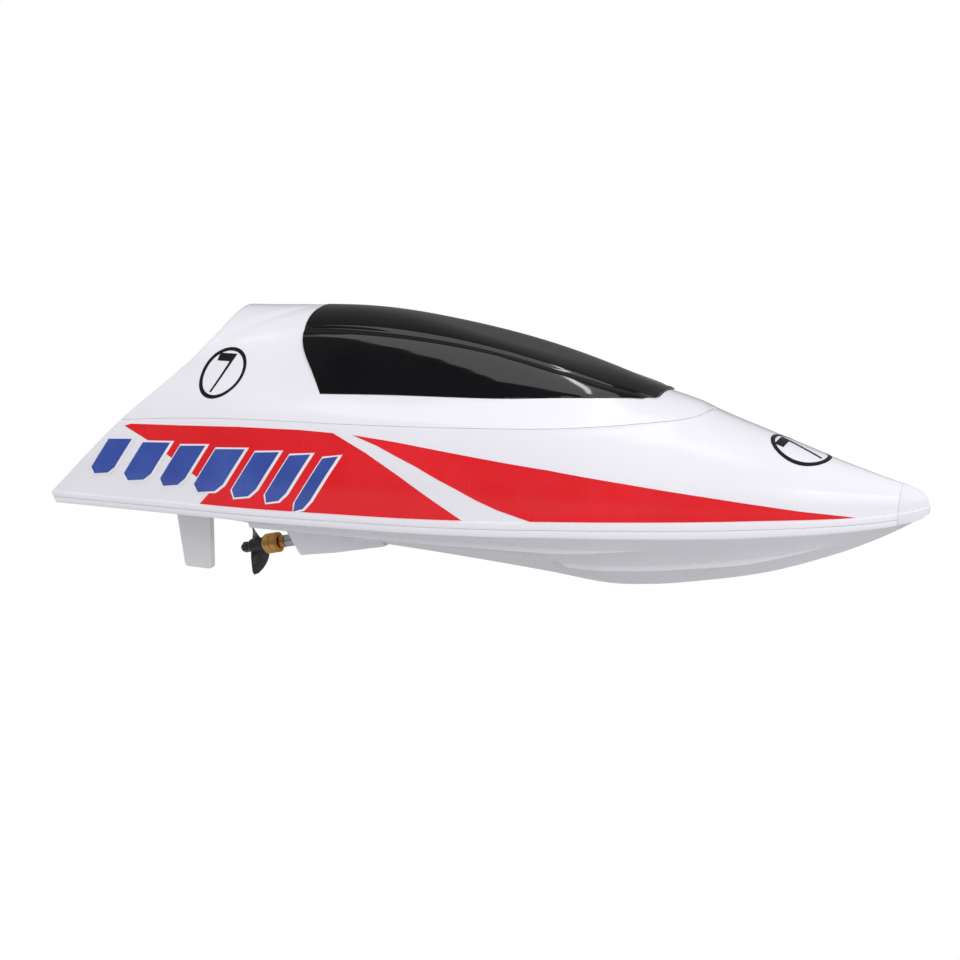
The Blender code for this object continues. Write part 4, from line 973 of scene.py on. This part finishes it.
def film(name, body, slot, outline, matrix, xs, low, high, level=0, rows=40, holes=()):
    """Thin printed film on the topsides, cut to a flat outline that is seen along matrix Z.

    It covers xs, between the heights low(x) and high(x), on one side of the boat, or right
    across it if the outline is near the centreline.
    """
    across = abs(matrix.translation.y) < NEAR_MIDDLE
    side = -1 if matrix.translation.y < 0 else 1
    reach = (FILM_LIFT + level * FILM, FILM_LIFT + (level + 0.8) * FILM)

    def row_of(x, offset):
        line = between(topside(x, -offset), low(x), high(x), rows)
        if across:
            return [(x, -p.x, p.y) for p in line] + [(x, p.x, p.y) for p in line[-2::-1]]
        return [(x, side * p.x, p.y) for p in line]

    def build(work):
        grids = [[[work.verts.new(point) for point in row_of(x, offset)] for x in xs]
                 for offset in reach]
        inner, outer = grids
        last_i, last_j = len(xs) - 1, len(inner[0]) - 1
        for grid in grids:
            for i in range(last_i):
                for j in range(last_j):
                    work.faces.new((grid[i][j], grid[i + 1][j], grid[i + 1][j + 1],
                                    grid[i][j + 1]))
        ring = [(i, 0) for i in range(last_i)] + [(last_i, j) for j in range(last_j)]
        ring += [(i, last_j) for i in range(last_i, 0, -1)]
        ring += [(0, j) for j in range(last_j, 0, -1)]
        for k, (i, j) in enumerate(ring):
            m, n = ring[(k + 1) % len(ring)]
            work.faces.new((inner[i][j], inner[m][n], outer[m][n], outer[i][j]))

    skin = mesh_object(name, build)
    cut(skin, flat_piece(outline, 0.08, matrix, holes), operation="INTERSECT")
    return piece(skin, name, body, slot, smooth_angle=50.0)


def on_side(side):
    """Frame whose XY is the boat's XZ, seen from that side of the boat."""
    return Matrix.Translation((0.0, side * 0.045, 0.0)) @ SIDE_PLANE


UNDER_SEAM = seam_plus(-0.0006)
RED_REAR = ((-0.1665, 0.0806), (-0.1630, 0.0818), (-0.1356, 0.0834), (-0.1028, 0.0855),
            (-0.0710, 0.0869), (-0.0539, 0.0869), (-0.0365, 0.0798), (-0.0177, 0.0708),
            (-0.0022, 0.0626), (0.0142, 0.0541), (-0.0161, 0.0519), (-0.0467, 0.0503),
            (-0.0836, 0.0488), (-0.1228, 0.0474), (-0.1150, 0.0560), (-0.1500, 0.0742))
RED_FRONT_LOW = ((-0.0440, 0.0868), (-0.0310, 0.0832), (-0.0208, 0.0795), (-0.0106, 0.0760),
                 (-0.0004, 0.0719), (0.0098, 0.0681), (0.0200, 0.0640), (0.0300, 0.0607),
                 (0.0400, 0.0582), (0.0494, 0.0560), (0.0768, 0.0574), (0.1263, 0.0605),
                 (0.1761, 0.0622))
RED_FRONT_HIGH = ((0.1870, 0.0630), (0.1578, 0.0660), (0.1255, 0.0704), (0.0880, 0.0752),
                  (0.0523, 0.0795), (0.0055, 0.0832), (-0.0220, 0.0855))
# Leaning speed bars: aft end, width, foot height and head height
BARS = ((-0.1850, 0.0125, 0.0570, 0.0750), (-0.1665, 0.0145, 0.0555, 0.0752),
        (-0.1462, 0.0130, 0.0548, 0.0755), (-0.1275, 0.0150, 0.0538, 0.0758),
        (-0.1068, 0.0120, 0.0532, 0.0762), (-0.0890, 0.0100, 0.0526, 0.0766),
        (-0.0735, 0.0070, 0.0500, 0.0770))
BAR_LEAN = 0.62          # x for each unit of height
BAR_BORDER = 0.0009      # white edge round each bar


def bar_outline(bar, grow):
    """One speed bar: a leaning band with a pointed foot."""
    x, width, low, high = bar
    low, high, side = low - grow, high + grow, 1.2 * grow

    def at(across, up):
        z = low + (high - low) * up
        left = x - side + BAR_LEAN * (z - low)
        return (left + across * (width + 2.0 * side), z)

    return [at(0.0, 0.16), at(0.30, 0.0), at(0.85, 0.06), at(1.0, 0.22), at(1.0, 1.0),
            at(0.0, 0.94)]


def stripes():
    """Red flashes and leaning blue bars on both sides of the hull."""
    for side, name in ((-1, "starboard"), (1, "port")):
        matrix = on_side(side)
        film("red_rear_" + name, "hull", "stripe_red", RED_REAR, matrix,
             spaced(-0.175, 0.018, 78), rail_top, UNDER_SEAM)
        film("red_front_" + name, "hull", "stripe_red", RED_FRONT_LOW + RED_FRONT_HIGH, matrix,
             spaced(-0.048, 0.190, 95), rail_top, UNDER_SEAM)
        for number, bar in enumerate(BARS):
            xs = spaced(bar[0] - 0.003, bar[0] + bar[1] + 0.020, 24)
            for kind, slot, grow, level in (("bar_edge", "stripe_white", BAR_BORDER, 1),
                                            ("bar", "stripe_blue", 0.0, 2)):
                film("%s_%s_%d" % (kind, name, number), "hull", slot, bar_outline(bar, grow),
                     matrix, xs, rail_top, UNDER_SEAM, level)


# Plain figure seven of unit height: a short thick flag on a thin leaning leg
SEVEN = ((-0.36, 0.50), (0.17, 0.50), (-0.13, -0.50), (-0.19, -0.50), (0.03, 0.30),
         (-0.36, 0.30))


def race_number(name, body, matrix, radius, stretch, lean, xs, low):
    """Ring with a figure seven inside it, printed on the surface round the frame's origin."""
    def shaped(points, scale):
        return [(scale * (x + lean * y), scale * stretch * y) for x, y in points]

    ring = shaped(arc((0, 0), 1.0, 0, 354, 60), radius)
    hole = shaped(arc((0.01, 0.0), 0.86, 0, 354, 60), radius)
    seven = shaped([(x + 0.04, y) for x, y in SEVEN], 1.5 * radius)

    for part, outline, holes in (("_ring", ring, [hole]), ("_seven", seven, [])):
        film(name + part, body, "mark_black", outline, matrix, xs, low, lambda x: ABOVE, 0, 60,
             holes)


def facing(centre, right, up):
    """Frame at centre whose Z looks out of the plane of right and up."""
    right = Vector(right).normalized()
    out = right.cross(Vector(up)).normalized()
    matrix = Matrix((right, out.cross(right), out)).transposed().to_4x4()
    matrix.translation = centre
    return matrix


def race_numbers():
    """One number on each side of the cover and one on the foredeck."""
    for side, name in ((-1, "starboard"), (1, "port")):
        matrix = facing((-0.1193, side * 0.0376, 0.1075), (-side, 0.0, 0.03),
                        (0.0, -side * 0.52, 0.85))
        race_number("number_rear_" + name, "cover", matrix, 0.0112, 1.18, 0.24,
                    spaced(-0.137, -0.101, 30), seam_plus(0.002))
    matrix = facing((0.1515, -0.0025, 0.0895), (0.0, 1.0, 0.0), (-0.95, 0.0, 0.30))
    race_number("number_bow", "hull", matrix, 0.0118, 1.18, 0.0, spaced(0.134, 0.170, 30),
                lambda x: top_height(x) - 0.012)


# ------------------------------------------------------------------ stage
def camera():
    """Long lens from ahead of the starboard beam, a little above the boat."""
    data = bpy.data.cameras.new("camera")
    data.lens = 85.0
    data.sensor_width = 36.0
    data.shift_x = -0.01146
    data.shift_y = -0.03854
    data.clip_start = 0.05
    data.clip_end = 40.0
    obj = linked("camera", data)
    azimuth, elevation, distance = math.radians(25.0), math.radians(12.0), 1.05
    back = Vector((math.sin(azimuth) * math.cos(elevation),
                   -math.cos(azimuth) * math.cos(elevation), math.sin(elevation)))
    target = Vector((0.00175, 0.0, 0.0776))
    obj.location = target + distance * back
    obj.rotation_mode = "QUATERNION"
    obj.rotation_quaternion = (-back).to_track_quat("-Z", "Y")
    bpy.context.scene.camera = obj


def area_light(name, location, size, power, target=None, twist=0.0):
    """Soft rectangular light that faces its target, or else the floor, turned by a twist."""
    data = bpy.data.lights.new(name, "AREA")
    data.shape = "RECTANGLE"
    data.size, data.size_y = size
    data.energy = power
    obj = linked(name, data)
    obj.location = location
    turn = Matrix.Rotation(math.radians(twist), 3, "Z").to_quaternion()
    if target:
        turn = (Vector(target) - Vector(location)).to_track_quat("-Z", "Y")
    obj.rotation_mode = "QUATERNION"
    obj.rotation_quaternion = turn


def floor_material():
    """Pale floor that the camera sees as plain white, and that throws back soft light."""
    made, tree, shader = shader_material("floor_pale", 0.8)
    colour = ramp(tree, noise(tree, 0.7), (0.50, 0.50, 0.515), (0.54, 0.54, 0.55))
    wired(tree, shader, Base_Color=colour)
    bump(tree, shader, noise(tree, 30.0), 0.05, 0.001)
    mixer = new_node(tree, "MixShader")
    looks = (new_node(tree, "LightPath").outputs["Is Camera Ray"], shader.outputs["BSDF"],
             new_node(tree, "Emission").outputs["Emission"])
    for socket, look in zip(mixer.inputs, looks):
        tree.links.new(look, socket)
    wired(tree, tree.nodes["Material Output"], Surface=mixer.outputs["Shader"])
    return made


def studio_world():
    """White behind the boat, soft light from above, and dark surroundings for reflections."""
    world = bpy.data.worlds.new("studio")
    bpy.context.scene.world = world
    world.use_nodes = True
    tree = world.node_tree
    place = new_node(tree, "TexCoord").outputs["Generated"]
    axes = new_node(tree, "SeparateXYZ", Vector=place).outputs
    rays = new_node(tree, "LightPath").outputs
    soft = spread_value(tree, axes["Z"], 1.22, 0.62, 0.0, 1.0)
    mirrored = spread_value(tree, axes["Y"], 0.03, 0.17, -0.6, 0.9)
    strength = new_node(tree, "Mix", Factor=rays["Is Glossy Ray"], A=soft, B=mirrored)
    strength = new_node(tree, "Mix", Factor=rays["Is Camera Ray"],
                        A=strength.outputs["Result"], B=1.0)
    wired(tree, tree.nodes["Background"], Color=(1.0, 1.0, 1.0, 1.0),
          Strength=strength.outputs["Result"])


def stage():
    """Pale floor well below the boat, the studio around it, and its three lights."""
    floor = mesh_object("floor", lambda work: bmesh.ops.create_grid(
        work, x_segments=24, y_segments=24, size=14.0))
    floor.location = (0.0, 0.0, -0.30)
    floor.data.materials.append(floor_material())
    studio_world()
    bpy.context.scene.view_settings.view_transform = "Standard"

    area_light("key", (0.90, -0.80, 0.60), (0.5, 0.5), 4.5, target=(0.15, 0.0, 0.07))
    area_light("ceiling", (-0.215, -0.40, 1.5), (1.2, 0.95), 3.5, twist=32.7)
    area_light("strip", (0.02, -0.10, 1.45), (0.04, 0.9), 0.8, twist=10.0)


# ------------------------------------------------------------------ build
camera()
dress_cad_nodes()
hull_bottom()
deck_shell()
bow_bumper()
hatch_cover()
tail_block()
hatch_latch()
canopy_window()
stripes()
race_numbers()
stage()
